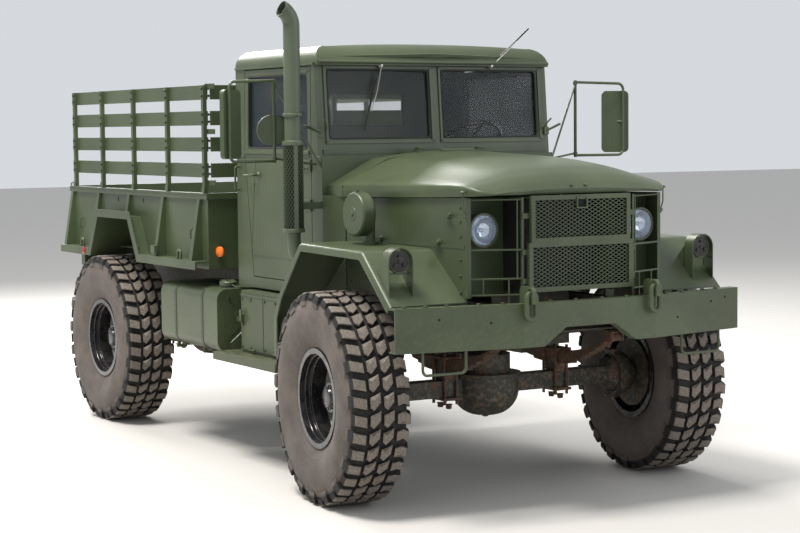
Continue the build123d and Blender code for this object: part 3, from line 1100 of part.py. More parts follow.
stack = bent_rod([(*STACK_ELBOW_END, STACK_ELBOW_Z), (STACK_X, STACK_Y, STACK_ELBOW_Z),
                  (STACK_X, STACK_Y, STACK_GUARD_Z[0] + 10)], 70, STACK_PIPE_RADIUS)
inside_cowl = plan_plate([(cowl_x, 0), (cowl_x, flank_y(cowl_x) + FLANK_SHEET),
                          (CAB_FRONT_X, half), (CAB_FRONT_X, 0)], PANEL_Z, BELT_Z)
stack -= other_side(inside_cowl)
stack += rod((STACK_X, STACK_Y, STACK_GUARD_Z[0]), (STACK_X, STACK_Y, STACK_GUARD_Z[1]),
             STACK_GUARD_RADIUS)
stack += rod((STACK_X, STACK_Y, STACK_GUARD_Z[1]), (STACK_X, STACK_Y, TAIL_PIPE_TOP_Z),
             TAIL_PIPE_RADIUS)
stack -= rod((STACK_X, STACK_Y, TAIL_PIPE_TOP_Z - 400), (STACK_X, STACK_Y, TAIL_PIPE_TOP_Z),
             TAIL_PIPE_RADIUS - 3)
stack += block((CAB_FRONT_X - 50, CAB_FRONT_X - 20), (STACK_Y + 40, -half), STACK_BRACKET_Z)
save("exhaust_stack", stack)

# Mirrors: a tube frame on each side of the cab that holds a tall flat mirror, and on the right a
# round one.
MIRROR_POST = (-770, CAB_HALF_WIDTH + 263)
MIRROR_POST_Z = (BELT_Z - 25, BELT_Z + 455)
MIRROR_LOOP = (-690, CAB_HALF_WIDTH + 595)
MIRROR_TUBE = 9
MIRROR_STRUT = 6.5
MIRROR_STRUT_Y = CAB_HALF_WIDTH - 38
MIRROR_STRUT_Z = BELT_Z - 132
MIRROR_HEAD = (-740, MIRROR_LOOP[1] - 30, BELT_Z + 195)
MIRROR_SIZE = (28, 178, 406)
MIRROR_TURN = -30
ROUND_MIRROR_Z = BELT_Z + 159
ROUND_MIRROR_RADIUS = 93

px, py = MIRROR_POST
lx, ly = MIRROR_LOOP
low_z, high_z = MIRROR_POST_Z
head_x, head_y, head_z = MIRROR_HEAD
left_mirror = bent_rod([(px, py, low_z), (lx, ly, low_z), (lx, ly, high_z - 10), (px, py, high_z)],
                  40, MIRROR_TUBE)
left_mirror += rod((px, py, low_z - 12), (px, py, high_z + 12), MIRROR_TUBE + 1)
left_mirror += rod((px, py, high_z - 14), (FRONT_WALL_X[1] - 4, MIRROR_STRUT_Y, MIRROR_STRUT_Z),
              MIRROR_STRUT)
left_mirror += rod((px, py, low_z + 14), (LEDGE_X, half - 4, LEDGE_Z - 20), MIRROR_STRUT)
left_mirror -= block((LEDGE_X - 300, FRONT_WALL_X[1] + 30), (0, half), (CAB_BOTTOM_Z, ROOF_TOP_Z))
head = fillet(Box(*MIRROR_SIZE).edges().filter_by(Axis.X), 30)
left_mirror += Pos(*MIRROR_HEAD) * Rot(0, 0, MIRROR_TURN) * head
left_mirror += rod((head_x, head_y, head_z), (lx, ly, head_z), MIRROR_STRUT)
right_mirror = other_side(left_mirror)
round_face = Plane(origin=(px - MIRROR_TUBE, -py - 6, ROUND_MIRROR_Z), z_dir=(1, -0.35, 0))
right_mirror += extrude(round_face * Circle(ROUND_MIRROR_RADIUS), amount=-24)
save("mirrors", Compound([left_mirror, right_mirror]))

# Cargo bed: floor, sides, wheel housings and the sills and bearers that it rests on.
SIDE_RAIL_Y = BED_HALF_WIDTH + 16
SIDE_RAIL = 42
FRONT_RAIL = 16
BED_LENGTH = BED_FRONT_X - BED_REAR_X
# Places along the bed, as shares of its length from the rear.
BEARER_SHARES = (0.028, 0.243, 0.470, 0.721, 0.964)
RIB_SHARES = (0.020, 0.236, 0.469, 0.714, 0.953)
POST_SHARES = (0.045, 0.267, 0.506, 0.747, 0.988)
BEARER = 60
BEARER_WALL = 6
LONG_SILL = (365, 425)
ARCH_TOP_Z = BED_BOTTOM_Z + 305
ARCH_LINE = [(-WHEELBASE - 170, BED_BOTTOM_Z), (-WHEELBASE, ARCH_TOP_Z),
             (580 - WHEELBASE, ARCH_TOP_Z), (750 - WHEELBASE, BED_BOTTOM_Z)]
ARCH_INNER_Y = REAR_TYRE_Y - 200
RIB = 44

bed_x = (BED_REAR_X, BED_FRONT_X)
bed_inside = (BED_SHEET - BED_HALF_WIDTH, BED_HALF_WIDTH - BED_SHEET)
floor_x = (BED_REAR_X, BED_FRONT_X - BED_SHEET)
bed_floor = block(floor_x, bed_inside, (BED_FLOOR_Z - BED_SHEET, BED_FLOOR_Z))
for share in BEARER_SHARES:
    x = BED_REAR_X + share * BED_LENGTH
    bed_floor += block((x - BEARER / 2, x + BEARER / 2), bed_inside,
                       (BED_BOTTOM_Z, BED_FLOOR_Z - BED_SHEET))
long_sill = block(floor_x, LONG_SILL, (RAIL_TOP_Z, BED_FLOOR_Z - BED_SHEET))
bed_floor += long_sill + other_side(long_sill)
front_wall = block((BED_FRONT_X - BED_SHEET, BED_FRONT_X), bed_inside, (BED_BOTTOM_Z, BED_TOP_Z))
front_wall += block((BED_FRONT_X, BED_FRONT_X + FRONT_RAIL), (-SIDE_RAIL_Y, SIDE_RAIL_Y),
                    (BED_TOP_Z - SIDE_RAIL, BED_TOP_Z))
save("bed_front_wall", front_wall)
side_wall = block(bed_x, (BED_HALF_WIDTH - BED_SHEET, BED_HALF_WIDTH), (BED_FLOOR_Z, BED_TOP_Z))
side_wall += block(bed_x, (BED_HALF_WIDTH, SIDE_RAIL_Y), (BED_TOP_Z - SIDE_RAIL, BED_TOP_Z))
sill = block(bed_x, (BED_HALF_WIDTH - BED_SHEET, SILL_HALF_WIDTH), (BED_BOTTOM_Z, BED_FLOOR_Z))
sill -= block(bed_x, (BED_HALF_WIDTH, SILL_HALF_WIDTH - BED_SHEET),
              (BED_BOTTOM_Z, BED_FLOOR_Z - BED_SHEET))
side_wall += sill
for share in RIB_SHARES:
    x = BED_REAR_X + share * BED_LENGTH
    rib = front_plate([(BED_HALF_WIDTH, BED_FLOOR_Z), (SILL_HALF_WIDTH - 18, BED_FLOOR_Z),
                       (SIDE_RAIL_Y, BED_TOP_Z - SIDE_RAIL), (BED_HALF_WIDTH, BED_TOP_Z - SIDE_RAIL)],
                      x - RIB / 2, x + RIB / 2)
    side_wall += rib
arch_cut = side_plate(ARCH_LINE, ARCH_INNER_Y, SILL_HALF_WIDTH + 10)
side_wall -= arch_cut
housing = band(ARCH_LINE, BED_SHEET, ARCH_INNER_Y, SILL_HALF_WIDTH)
housing_wall = side_plate(ARCH_LINE, ARCH_INNER_Y - BED_SHEET, ARCH_INNER_Y)
arch_lip = band(ARCH_LINE, -48, SILL_HALF_WIDTH - BED_SHEET, SILL_HALF_WIDTH)
arch_lip &= block(bed_x, (0, SILL_HALF_WIDTH), (BED_BOTTOM_Z, BED_TOP_Z))
arch_shelf = band(ARCH_LINE, -BED_SHEET, BED_HALF_WIDTH, SILL_HALF_WIDTH)
arch_shelf &= block(bed_x, (0, SILL_HALF_WIDTH), (BED_BOTTOM_Z, BED_TOP_Z))
for piece in (housing, housing_wall, arch_lip, arch_shelf):
    side_wall += piece
save("bed_sides", both_sides(side_wall))
housing_cut = arch_cut + housing_wall
bed_floor -= housing_cut + other_side(housing_cut)
save("bed_floor", bed_floor)

# Stake racks along both sides and across the front, standing on the top rail.
RACK_POST = 34
RACK_TOP_Z = BED_TOP_Z + 715
SLATS_Z = (BED_TOP_Z + 150, BED_TOP_Z + 323, BED_TOP_Z + 497, BED_TOP_Z + 668)
SLAT = 95
SLAT_THICK = 20
RACK_Y = (BED_HALF_WIDTH - 10, SIDE_RAIL_Y)
FRONT_POSTS_Y = (-560, 0, 560)

racks = None
for side in (1, -1):
    post_y = sorted((side * RACK_Y[0], side * RACK_Y[1]))
    slat_y = sorted((side * RACK_Y[0], side * (RACK_Y[0] - SLAT_THICK)))
    for share in POST_SHARES:
        x = BED_REAR_X + share * BED_LENGTH
        post = block((x - RACK_POST / 2, x + RACK_POST / 2), post_y, (BED_TOP_Z, RACK_TOP_Z))
        racks = post if racks is None else racks + post
    for z in SLATS_Z:
        racks += block((BED_REAR_X + 20, BED_FRONT_X - SLAT_THICK - 20), slat_y,
                       (z - SLAT / 2, z + SLAT / 2))
for y in FRONT_POSTS_Y:
    racks += block((BED_FRONT_X - 10, BED_FRONT_X + FRONT_RAIL), (y - RACK_POST / 2, y + RACK_POST / 2),
                   (BED_TOP_Z, RACK_TOP_Z))
for z in SLATS_Z:
    racks += block((BED_FRONT_X - 10 - SLAT_THICK, BED_FRONT_X - 10), (-RACK_Y[0] + 30, RACK_Y[0] - 30),
                   (z - SLAT / 2, z + SLAT / 2))
save("stake_racks", racks)

# Tailgate: a panel hinged behind the bed's floor, on two barrels close to the sill.
GATE_THICK = 40
GATE_HALF = BED_HALF_WIDTH - 18
GATE_HINGE_RADIUS = 9
GATE_HINGE_Z = BED_BOTTOM_Z + 25
GATE_HINGES_Y = (420, 620)

gate_hinge_x = BED_REAR_X - GATE_HINGE_RADIUS - RUNNING_GAP
gate_x = (BED_REAR_X - PANEL_GAP - GATE_THICK, BED_REAR_X - PANEL_GAP)
gate = block(gate_x, (-GATE_HALF, GATE_HALF), (BED_FLOOR_Z + 8, BED_TOP_Z))
for side in (1, -1):
    hinge_span = sorted(side * y for y in GATE_HINGES_Y)
    gate += rod((gate_hinge_x, hinge_span[0], GATE_HINGE_Z), (gate_hinge_x, hinge_span[1], GATE_HINGE_Z),
                GATE_HINGE_RADIUS)
    gate += block((gate_x[0] + 10, gate_hinge_x), hinge_span, (GATE_HINGE_Z, BED_FLOOR_Z + 10))
save("tailgate", gate)

# Behind: two lamps under the bed and a pintle on the frame's rear plate.
TAIL_LAMP_Y = (800, 900)
TAIL_LAMP_X = (BED_REAR_X + 25, BED_REAR_X + 95)
TAIL_LAMP_Z = (BED_BOTTOM_Z - 110, BED_BOTTOM_Z)
PINTLE_Z = RAIL_TOP_Z - 100
PINTLE_REACH = 150

save("tail_lamps", both_sides(block(TAIL_LAMP_X, TAIL_LAMP_Y, TAIL_LAMP_Z)))
plate_x = RAIL_REAR_X - RAIL_WEB
pintle = block((plate_x - 16, plate_x), (-80, 80), (PINTLE_Z - 90, PINTLE_Z + 90))
pintle += rod((plate_x, 0, PINTLE_Z), (plate_x - 90, 0, PINTLE_Z), 34)
pintle += rod((REAR_END_X + 42, -22, PINTLE_Z), (REAR_END_X + 42, 22, PINTLE_Z), 42)
pintle += block((plate_x - 100, plate_x - 80), (-22, 22), (PINTLE_Z - 40, PINTLE_Z + 60))
save("pintle_hook", pintle)
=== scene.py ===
from math import cos, exp, pi, radians, sin, tan

import bmesh
import bpy
from mathutils import Matrix, Vector


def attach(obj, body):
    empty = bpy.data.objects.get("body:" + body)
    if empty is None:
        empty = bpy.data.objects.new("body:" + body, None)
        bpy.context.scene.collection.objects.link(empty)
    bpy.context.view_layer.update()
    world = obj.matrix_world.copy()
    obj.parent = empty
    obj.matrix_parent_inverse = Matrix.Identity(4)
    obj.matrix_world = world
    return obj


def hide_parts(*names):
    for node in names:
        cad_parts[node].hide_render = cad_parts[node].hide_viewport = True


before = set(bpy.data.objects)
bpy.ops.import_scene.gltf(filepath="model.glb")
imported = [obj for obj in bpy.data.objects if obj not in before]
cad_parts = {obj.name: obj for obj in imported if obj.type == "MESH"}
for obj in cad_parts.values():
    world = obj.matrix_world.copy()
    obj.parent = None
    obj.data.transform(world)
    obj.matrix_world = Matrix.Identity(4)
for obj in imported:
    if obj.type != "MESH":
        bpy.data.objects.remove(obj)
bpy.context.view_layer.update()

# The yard: a pale floor under soft studio light, seen from the front right corner with a long
# lens. Nothing here is part of the truck.
FLOOR_GREY = (0.56, 0.545, 0.52)
FLOOR_HALF = 60.0
SKY_TINT = (0.93, 0.96, 1.0)
SKY_LEVEL = 0.72
CAMERA_AT = (11.245, -6.224, 2.128)
CAMERA_YAW = 149.502
CAMERA_PITCH = -4.134
CAMERA_ROLL = -0.568
CAMERA_LENS = 84.99
CAMERA_REACH = 300.0
SENSOR = 36.0
LAMPS = [
    # name, place, width, power, colour
    ("key_lamp", (1.0, -5.0, 12.0), 3.5, 2000.0, (1.0, 0.97, 0.92)),
    ("fill_lamp", (9.0, 6.0, 5.0), 7.0, 220.0, (0.96, 0.98, 1.0)),
    ("rear_lamp", (-9.5, 1.0, 8.0), 6.0, 1900.0, (1.0, 0.98, 0.95)),
]
LAMP_AIM = Vector((0.0, 0.0, 1.1))


class Wire:
    """A socket of a finish, so that shader maths is written as a plain expression."""

    def __init__(self, finish, socket):
        self.finish = finish
        self.socket = socket

    def maths(self, operation, first, second):
        return self.finish.node("ShaderNodeMath", {"operation": operation}, {0: first, 1: second})

    def __add__(self, other):
        return self.maths("ADD", self, other)

    def __radd__(self, other):
        return self.maths("ADD", other, self)

    def __sub__(self, other):
        return self.maths("SUBTRACT", self, other)

    def __rsub__(self, other):
        return self.maths("SUBTRACT", other, self)

    def __mul__(self, other):
        return self.maths("MULTIPLY", self, other)


class Finish:
    """A material being made: one method adds any node, the others name what this truck needs."""

    def __init__(self, name, slot=None):
        self.material = bpy.data.materials.new(name)
        self.material.use_nodes = True
        self.tree = self.material.node_tree
        self.tree.nodes.clear()
        self.slot = slot

    def node(self, kind, settings=None, sockets=None, out=0):
        made = self.tree.nodes.new(kind)
        for key, value in (settings or {}).items():
            setattr(made, key, value)
        for key, value in (sockets or {}).items():
            socket = made.inputs[key]
            if isinstance(value, Wire):
                self.tree.links.new(value.socket, socket)
            elif socket.type == "RGBA":
                socket.default_value = (*value, 1.0)
            else:
                socket.default_value = value
        return Wire(self, made.outputs[out]) if made.outputs else None

    def place(self):
        return self.node("ShaderNodeTexCoord", out="Object")

    def stretched(self, scale):
        """Object coordinates stretched along the axes, for grain and streaks."""
        return self.node("ShaderNodeMapping", None, {"Vector": self.place(), "Scale": scale})

    def part_of(self, vector, axis):
        return self.node("ShaderNodeSeparateXYZ", None, {0: vector}, out=axis)

    def noise(self, scale, detail=3.0, rough=0.55, at=None):
        return self.node("ShaderNodeTexNoise", None,
                         {"Vector": at or self.place(), "Scale": scale, "Detail": detail,
                          "Roughness": rough})

    def share(self, value, low, high):
        """0 where value is at low or below, 1 at high or above."""
        return self.node("ShaderNodeMapRange", {"interpolation_type": "SMOOTHSTEP"},
                         {"Value": value, "From Min": low, "From Max": high})

    def line(self, off, near, far):
        """1 where the distance off a line is under near, 0 beyond far."""
        return 1.0 - self.share(off * off, near ** 2, far ** 2)

    def between(self, share, low, high):
        """The low colour where share is 0, the high one where it is 1."""
        return self.node("ShaderNodeMix", {"data_type": "RGBA"}, {0: share, 6: low, 7: high}, out=2)

    def facing_up(self):
        """The share of a surface that faces the sky, where dust settles."""
        return self.part_of(self.node("ShaderNodeNewGeometry", out="Normal"), "Z")

    def height(self):
        """Height over the ground in metres."""
        return self.part_of(self.place(), "Z")

    def rounded(self, edge):
        """The surface's normal with its folded and cut edges rounded."""
        return self.node("ShaderNodeBevel", {"samples": 4}, {"Radius": edge})

    def bump(self, height, distance, strength=1.0, normal=None):
        sockets = {"Height": height, "Distance": distance, "Strength": strength}
        if normal:
            sockets["Normal"] = normal
        return self.node("ShaderNodeBump", None, sockets)

    def surface(self, sockets):
        shader = self.node("ShaderNodeBsdfPrincipled", None, sockets)
        self.node("ShaderNodeOutputMaterial", None, {"Surface": shader})
        if self.slot:
            self.material["slot"] = self.slot
        return self.material


def aim(thing, target):
    """Point a lamp at a place."""
    thing.rotation_mode = "QUATERNION"
    thing.rotation_quaternion = (target - thing.location).to_track_quat("-Z", "Y")


def linked(name, data):
    """A new object in the scene."""
    thing = bpy.data.objects.new(name, data)
    bpy.context.collection.objects.link(thing)
    return thing


floor_mesh = bpy.data.meshes.new("floor")
floor_mesh.from_pydata([(x * FLOOR_HALF, y * FLOOR_HALF, 0.0)
                        for x, y in ((-1, -1), (1, -1), (1, 1), (-1, 1))], [], [(0, 1, 2, 3)])
floor = linked("floor", floor_mesh)
floor_finish = Finish("pale_floor")
floor_mesh.materials.append(floor_finish.surface({"Base Color": FLOOR_GREY, "Roughness": 0.9}))

world = bpy.data.worlds.new("studio")
bpy.context.scene.world = world
world.use_nodes = True
world.node_tree.nodes["Background"].inputs["Color"].default_value = (*SKY_TINT, 1.0)
world.node_tree.nodes["Background"].inputs["Strength"].default_value = SKY_LEVEL
for lamp_name, lamp_at, lamp_width, lamp_power, lamp_colour in LAMPS:
    lamp_data = bpy.data.lights.new(lamp_name, "AREA")
    lamp_data.size = lamp_width
    lamp_data.energy = lamp_power
    lamp_data.color = lamp_colour
    lamp = linked(lamp_name, lamp_data)
    lamp.location = lamp_at
    aim(lamp, LAMP_AIM)

camera_data = bpy.data.cameras.new("camera")
camera_data.sensor_width = SENSOR
camera_data.lens = CAMERA_LENS
camera_data.clip_end = CAMERA_REACH
camera = linked("camera", camera_data)
yaw, pitch, roll = radians(CAMERA_YAW), radians(CAMERA_PITCH), radians(CAMERA_ROLL)
ahead = Vector((cos(yaw) * cos(pitch), sin(yaw) * cos(pitch), sin(pitch)))
right = Vector((sin(yaw), -cos(yaw), 0.0))
up = right.cross(ahead)
turned_right = right * cos(roll) + up * sin(roll)
turned_up = up * cos(roll) - right * sin(roll)
camera.matrix_world = Matrix((
    (turned_right.x, turned_up.x, -ahead.x, CAMERA_AT[0]),
    (turned_right.y, turned_up.y, -ahead.y, CAMERA_AT[1]),
    (turned_right.z, turned_up.z, -ahead.z, CAMERA_AT[2]),
    (0.0, 0.0, 0.0, 1.0)))
bpy.context.scene.camera = camera
bpy.context.scene.view_settings.view_transform = "Standard"

# Paint: the whole truck wears one coat of semi-gloss olive green, dusty on what faces up and
# low down, sprayed thick enough to show a faint orange peel. It covers nearly every CAD node.
OLIVE = (0.045, 0.062, 0.028)
OLIVE_LIGHT = (0.064, 0.085, 0.040)
DUST = (0.30, 0.25, 0.18)
GRAIN_ALONG_X = (0.6, 9.0, 9.0)


def dusty_share(finish, amount):
    """How dusty a place is: more where it faces up or lies near the road."""
    speckle = finish.share(finish.noise(38.0, 5.0, 0.6), 0.42, 0.72)
    low = 1.0 - finish.share(finish.height(), 0.4, 1.5)
    settled = finish.share(finish.facing_up(), 0.3, 1.0)
    return (settled * 0.4 + low * 0.6) * speckle * amount


def olive_paint(name, edge=0.004, dust=0.10, rough=0.40, grain=None):
    """The body's paint. The edge is how far a folded or cut edge is rounded."""
    finish = Finish(name, "olive_paint")
    patches = finish.share(finish.noise(1.7), 0.35, 0.7)
    colour = finish.between(patches, OLIVE, OLIVE_LIGHT)
    dusty = dusty_share(finish, dust)
    colour = finish.between(dusty, colour, DUST)
    relief = finish.bump(finish.noise(230.0, 1.0), 0.0006, 0.25, finish.rounded(edge))
    if grain:
        fibres = finish.noise(9.0, 6.0, 0.65, finish.stretched(grain))
        relief = finish.bump(fibres, 0.004, 0.5, relief)
        colour = finish.between(finish.share(fibres, 0.55, 0.75) * 0.35, colour, OLIVE_LIGHT)
    return finish.surface({"Base Color": colour, "Roughness": rough + dusty * 1.5,
                           "Coat Weight": 0.12, "Coat Roughness": 0.3, "Normal": relief})


def dress(material, *names):
    """Give CAD nodes their finish."""
    for name in names:
        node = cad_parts[name]
        node.data.materials.clear()
        node.data.materials.append(material)


paint = olive_paint("olive_paint")
dress(paint, *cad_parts)
dress(olive_paint("olive_low", 0.003, 0.35, 0.42), "fuel_tank", "battery_box", "running_boards",
      "air_tanks", "tow_shackles", "front_bumper")
dress(olive_paint("olive_racks", 0.002, 0.15, 0.45, GRAIN_ALONG_X), "stake_racks")

# Undersides: the frame, axles and brackets wear old dark paint that rust shows through, and the
# springs, shafts and tie rod are bare iron gone brown. All of them carry road dust.
UNDER_PAINT = (0.030, 0.032, 0.024)
RUST = (0.13, 0.060, 0.030)
RUST_DARK = (0.050, 0.028, 0.018)


def iron(name, slot, base, rusted, low, high, edge=0.003):
    """Old iron: a base colour broken by rust where a coarse noise is above low."""
    finish = Finish(name, slot)
    blotches = finish.share(finish.noise(9.0, 6.0, 0.65), low, high)
    fine = finish.noise(120.0, 4.0, 0.6)
    colour = finish.between(blotches, base, rusted)
    colour = finish.between(finish.share(fine, 0.55, 0.8) * 0.5, colour, RUST_DARK)
    colour = finish.between(dusty_share(finish, 0.7), colour, DUST)
    relief = finish.bump(fine, 0.002, 0.6, finish.rounded(edge))
    return finish.surface({"Base Color": colour, "Roughness": 0.62 + blotches * 0.25,
                           "Normal": relief})


under_paint = iron("underbody_paint", "underbody_paint", UNDER_PAINT, RUST, 0.50, 0.75)
rusty = iron("rusty_iron", "rusty_iron", RUST_DARK, RUST, 0.35, 0.65)
dress(under_paint, "front_axle", "rear_axle", "knuckle_left", "knuckle_right", "frame_rails",
      "crossmembers", "frame_brackets", "engine_block", "pintle_hook")
dress(rusty, "leaf_springs", "driveline", "tie_rod")

# Wheels: pressed steel discs welded into flat-base rims, in black gloss with dust in the dish.
# The tyres are black rubber, brown with dust on the walls, and painted darker than the rubber between
# the lugs as painted shade.
GLOSS_BLACK = (0.012, 0.012, 0.014)
RUBBER = (0.022, 0.021, 0.020)
WALL_DUST = (0.165, 0.135, 0.118)
TREAD_DUST = (0.250, 0.212, 0.175)
# Painted shade for the grooves and lug sides, darker than the rubber.
GROOVE_SHADE = (0.010, 0.009, 0.008)
TYRE_RADIUS = 610
WHEELBASE = 3800
FRONT_HUB_X = 1.859
FRONT_TYRE = (27.2, 1088.6)
REST_TURN = -6.0
SIDES = (("left", 1), ("right", -1))
WALL_RADII = (0.546, 0.566)
TOP_RADII = (0.599, 0.6045)
WALL_RIDGES = (0.302, 0.345, 0.520)


def gloss(name):
    """Black gloss with a film of dust and some grit."""
    finish = Finish(name, "black_gloss")
    film = finish.share(finish.noise(14.0, 5.0, 0.6), 0.35, 0.75)
    grit = finish.share(finish.noise(160.0, 3.0, 0.5), 0.5, 0.75)
    colour = finish.between(film * 0.05 + grit * 0.03, GLOSS_BLACK, DUST)
    relief = finish.bump(finish.noise(200.0, 2.0), 0.0005, 0.3, finish.rounded(0.003))
    return finish.surface({"Base Color": colour, "Roughness": 0.20 + film * 0.2 + grit * 0.1,
                           "Coat Weight": 0.4, "Coat Roughness": 0.12, "Normal": relief})


def rubber_tyre(name, hub_x, hub_y, turn):
    """Tyre rubber, coloured by the distance from the axle that the tyre turns on."""
    finish = Finish(name, "tyre_rubber")
    place = finish.place()
    run_x, run_y = cos(radians(turn)), sin(radians(turn))
    across = ((finish.part_of(place, "X") - hub_x) * run_x
              + (finish.part_of(place, "Y") - hub_y) * run_y)
    rise = finish.part_of(place, "Z") - TYRE_RADIUS / 1000
    radius = finish.node("ShaderNodeMath", {"operation": "SQRT"},
                         {0: across * across + rise * rise})
    # tread marks the grooves and lug sides below the tops, which get painted shade; worn marks the
    # dusty lug tops.
    tread = finish.share(radius, *WALL_RADII)
    worn = finish.share(radius, *TOP_RADII)
    cloud = finish.share(finish.noise(6.0, 5.0, 0.6), 0.25, 0.75)
    grit = finish.share(finish.noise(95.0, 5.0, 0.65), 0.38, 0.68)
    wall = finish.between(0.38 + cloud * 0.40, RUBBER, WALL_DUST)
    top = finish.between(0.45 + grit * 0.50, RUBBER, TREAD_DUST)
    colour = finish.between(worn, finish.between(tread, wall, GROOVE_SHADE), top)
    ridges = sum(finish.line(radius - ridge, 0.002, 0.004) for ridge in WALL_RIDGES)
    relief = finish.bump(ridges, 0.004, 0.6, finish.rounded(0.004))
    relief = finish.bump(finish.noise(150.0, 4.0), 0.0015, 0.4, relief)
    return finish.surface({"Base Color": colour, "Roughness": 0.66 + grit * 0.2, "Normal": relief})


wheel_black = gloss("wheel_black")
rear_rubber = rubber_tyre("rear_rubber", FRONT_HUB_X - WHEELBASE / 1000, 0.0, 0.0)
front_rubber = {}
for side_name, side in SIDES:
    front_rubber[side_name] = rubber_tyre(
        "front_rubber_" + side_name, FRONT_HUB_X + side * FRONT_TYRE[0] / 1000,
        side * FRONT_TYRE[1] / 1000, REST_TURN)
    dress(wheel_black, "wheel_front_" + side_name, "wheel_rear_" + side_name)
    dress(front_rubber[side_name], "tyre_front_" + side_name)
    dress(rear_rubber, "tyre_rear_" + side_name)

MERGE = 1e-6
THINNEST = 0.05
BEND_STEPS = 4
FORWARD, REARWARD = (1, 0, 0), (-1, 0, 0)
LEFT, RIGHT = (0, 1, 0), (0, -1, 0)
UP, DOWN = (0, 0, 1), (0, 0, -1)


def at(x, y, z):
    """A place in millimetres from the front axle, as a place in the frame."""
    return Vector((x / 1000 + FRONT_HUB_X, y / 1000, z / 1000))


def ring(centre, side, over, radius, sides):
    """Places round a circle that lies in the plane of side and over."""
    return [centre + (side * cos(2 * pi * k / sides) + over * sin(2 * pi * k / sides))
            * radius / 1000 for k in range(sides)]


class Kit:
    """One piece being put together from bars, tubes, plates and turned shapes."""

    def __init__(self):
        self.mesh = bmesh.new()
        self.where = Matrix()

    def skin(self, rows, closed=True, caps=True):
        """Faces between rows of points. Closed joins the ends of each row."""
        made = [[self.mesh.verts.new(self.where @ point) for point in row] for row in rows]
        count = len(made[0])
        for one, two in zip(made, made[1:]):
            for i in range(count if closed else count - 1):
                j = (i + 1) % count
                self.mesh.faces.new((one[i], one[j], two[j], two[i]))
        if caps:
            self.mesh.faces.new(made[0])
            self.mesh.faces.new(made[-1])

    def bar(self, start, end, wide, deep, normal=UP):
        """A flat bar from one place to another, standing off the face that normal leaves."""
        start, end, normal = at(*start), at(*end), Vector(normal).normalized()
        side = (end - start).cross(normal).normalized() * wide / 2000
        lift = normal * deep / 1000
        self.skin([[point - side, point + side, point + side + lift, point - side + lift]
                   for point in (start, end)])

    def tube(self, points, radius, bend=0.0, sides=10):
        """A round bar through the points, its corners rounded by bend."""
        line = [at(*points[0])]
        for before, corner, after in zip(points, points[1:], points[2:]):
            before, corner, after = at(*before), at(*corner), at(*after)
            into = corner + (before - corner).normalized() * bend / 1000
            out_of = corner + (after - corner).normalized() * bend / 1000
            for step in range(BEND_STEPS + 1):
                share = step / BEND_STEPS
                line.append(into.lerp(corner, share).lerp(corner.lerp(out_of, share), share))
        line.append(at(*points[-1]))
        rows = []
        side = (line[1] - line[0]).orthogonal().normalized()
        for i, point in enumerate(line):
            run = line[min(i + 1, len(line) - 1)] - line[max(i - 1, 0)]
            if run.length < 1e-7:
                continue
            run.normalize()
            side = (side - run * side.dot(run)).normalized()
            rows.append(ring(point, side, run.cross(side), radius, sides))
        self.skin(rows, caps=points[0] != points[-1])

    def loop(self, corners, radius, bend, sides=8):
        """A closed round bar round the corners, from the middle of its first side."""
        start = tuple((a + b) / 2 for a, b in zip(corners[0], corners[1]))
        self.tube([start, *corners[1:], corners[0], start], radius, bend, sides)

    def turned(self, centre, axis, profile, sides=32, caps=True):
        """A turned shape about an axis, from (along, radius) pairs."""
        centre, axis = at(*centre), Vector(axis).normalized()
        side = axis.orthogonal().normalized()
        over = axis.cross(side)
        self.skin([ring(centre + axis * along / 1000, side, over, max(radius, THINNEST), sides)
                   for along, radius in profile], caps=caps)

    def plate(self, outline, thick):
        """A flat plate: the outline of places, and how thick it is along its own normal."""
        points = [at(*point) for point in outline]
        normal = (points[1] - points[0]).cross(points[2] - points[1]).normalized()
        self.skin([points, [point + normal * thick / 1000 for point in points]])

    def done(self, name, body, material, both=False, smooth=32, stands_for=()):
        """Finish the piece, with its mirror image if both, and let it ride on a body."""
        if both:
            copied = bmesh.ops.duplicate(self.mesh, geom=self.mesh.verts[:] + self.mesh.faces[:])
            for vert in [item for item in copied["geom"] if isinstance(item, bmesh.types.BMVert)]:
                vert.co.y *= -1
        bmesh.ops.remove_doubles(self.mesh, verts=self.mesh.verts[:], dist=MERGE)
        bmesh.ops.recalc_face_normals(self.mesh, faces=self.mesh.faces[:])
        data = bpy.data.meshes.new(name)
        self.mesh.to_mesh(data)
        self.mesh.free()
        data.materials.append(material)
        data.shade_smooth()
        data.set_sharp_from_angle(angle=radians(smooth))
        piece = linked(name, data)
        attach(piece, body)
        if stands_for:
            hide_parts(*stands_for)


SMALL = [
    # name, slot, colour, worn colour, roughness, metallic, grain; the silver bowl's blue colour and
    # its darker blue patches are painted reflection
    ("seal_rubber", "tyre_rubber", (0.014, 0.014, 0.014), (0.045, 0.042, 0.036), 0.62, 0.0, 90.0),
    ("black_enamel", "black_gloss", (0.010, 0.010, 0.011), (0.03, 0.028, 0.024), 0.42, 0.0, 70.0),
    ("bright_steel", "rusty_iron", (0.42, 0.41, 0.39), (0.16, 0.10, 0.06), 0.32, 0.9, 160.0),
    # This near-black finish is painted shade for holes, slots, the grille box's back and the muffler
    # behind the stack's mesh.
    ("painted_shade_black", "underbody_paint", (0.006, 0.007, 0.006), (0.012, 0.011, 0.010), 0.90, 0.0, 60.0),
    ("silver_bowl_painted_reflection", "lamp_glass", (0.62, 0.70, 0.84), (0.30, 0.36, 0.48), 0.08, 1.0, 9.0),
    ("red_lens", "lamp_glass", (0.30, 0.010, 0.008), (0.16, 0.008, 0.006), 0.16, 0.0, 40.0),
    ("amber_lens", "lamp_glass", (0.80, 0.16, 0.010), (0.55, 0.10, 0.008), 0.16, 0.0, 40.0),
    ("mirror_face", "window_glass", (0.70, 0.73, 0.76), (0.42, 0.41, 0.38), 0.06, 1.0, 9.0),
    ("white_paint", "lamp_glass", (0.62, 0.62, 0.58), (0.35, 0.34, 0.30), 0.40, 0.0, 60.0),
]
finishes = {}
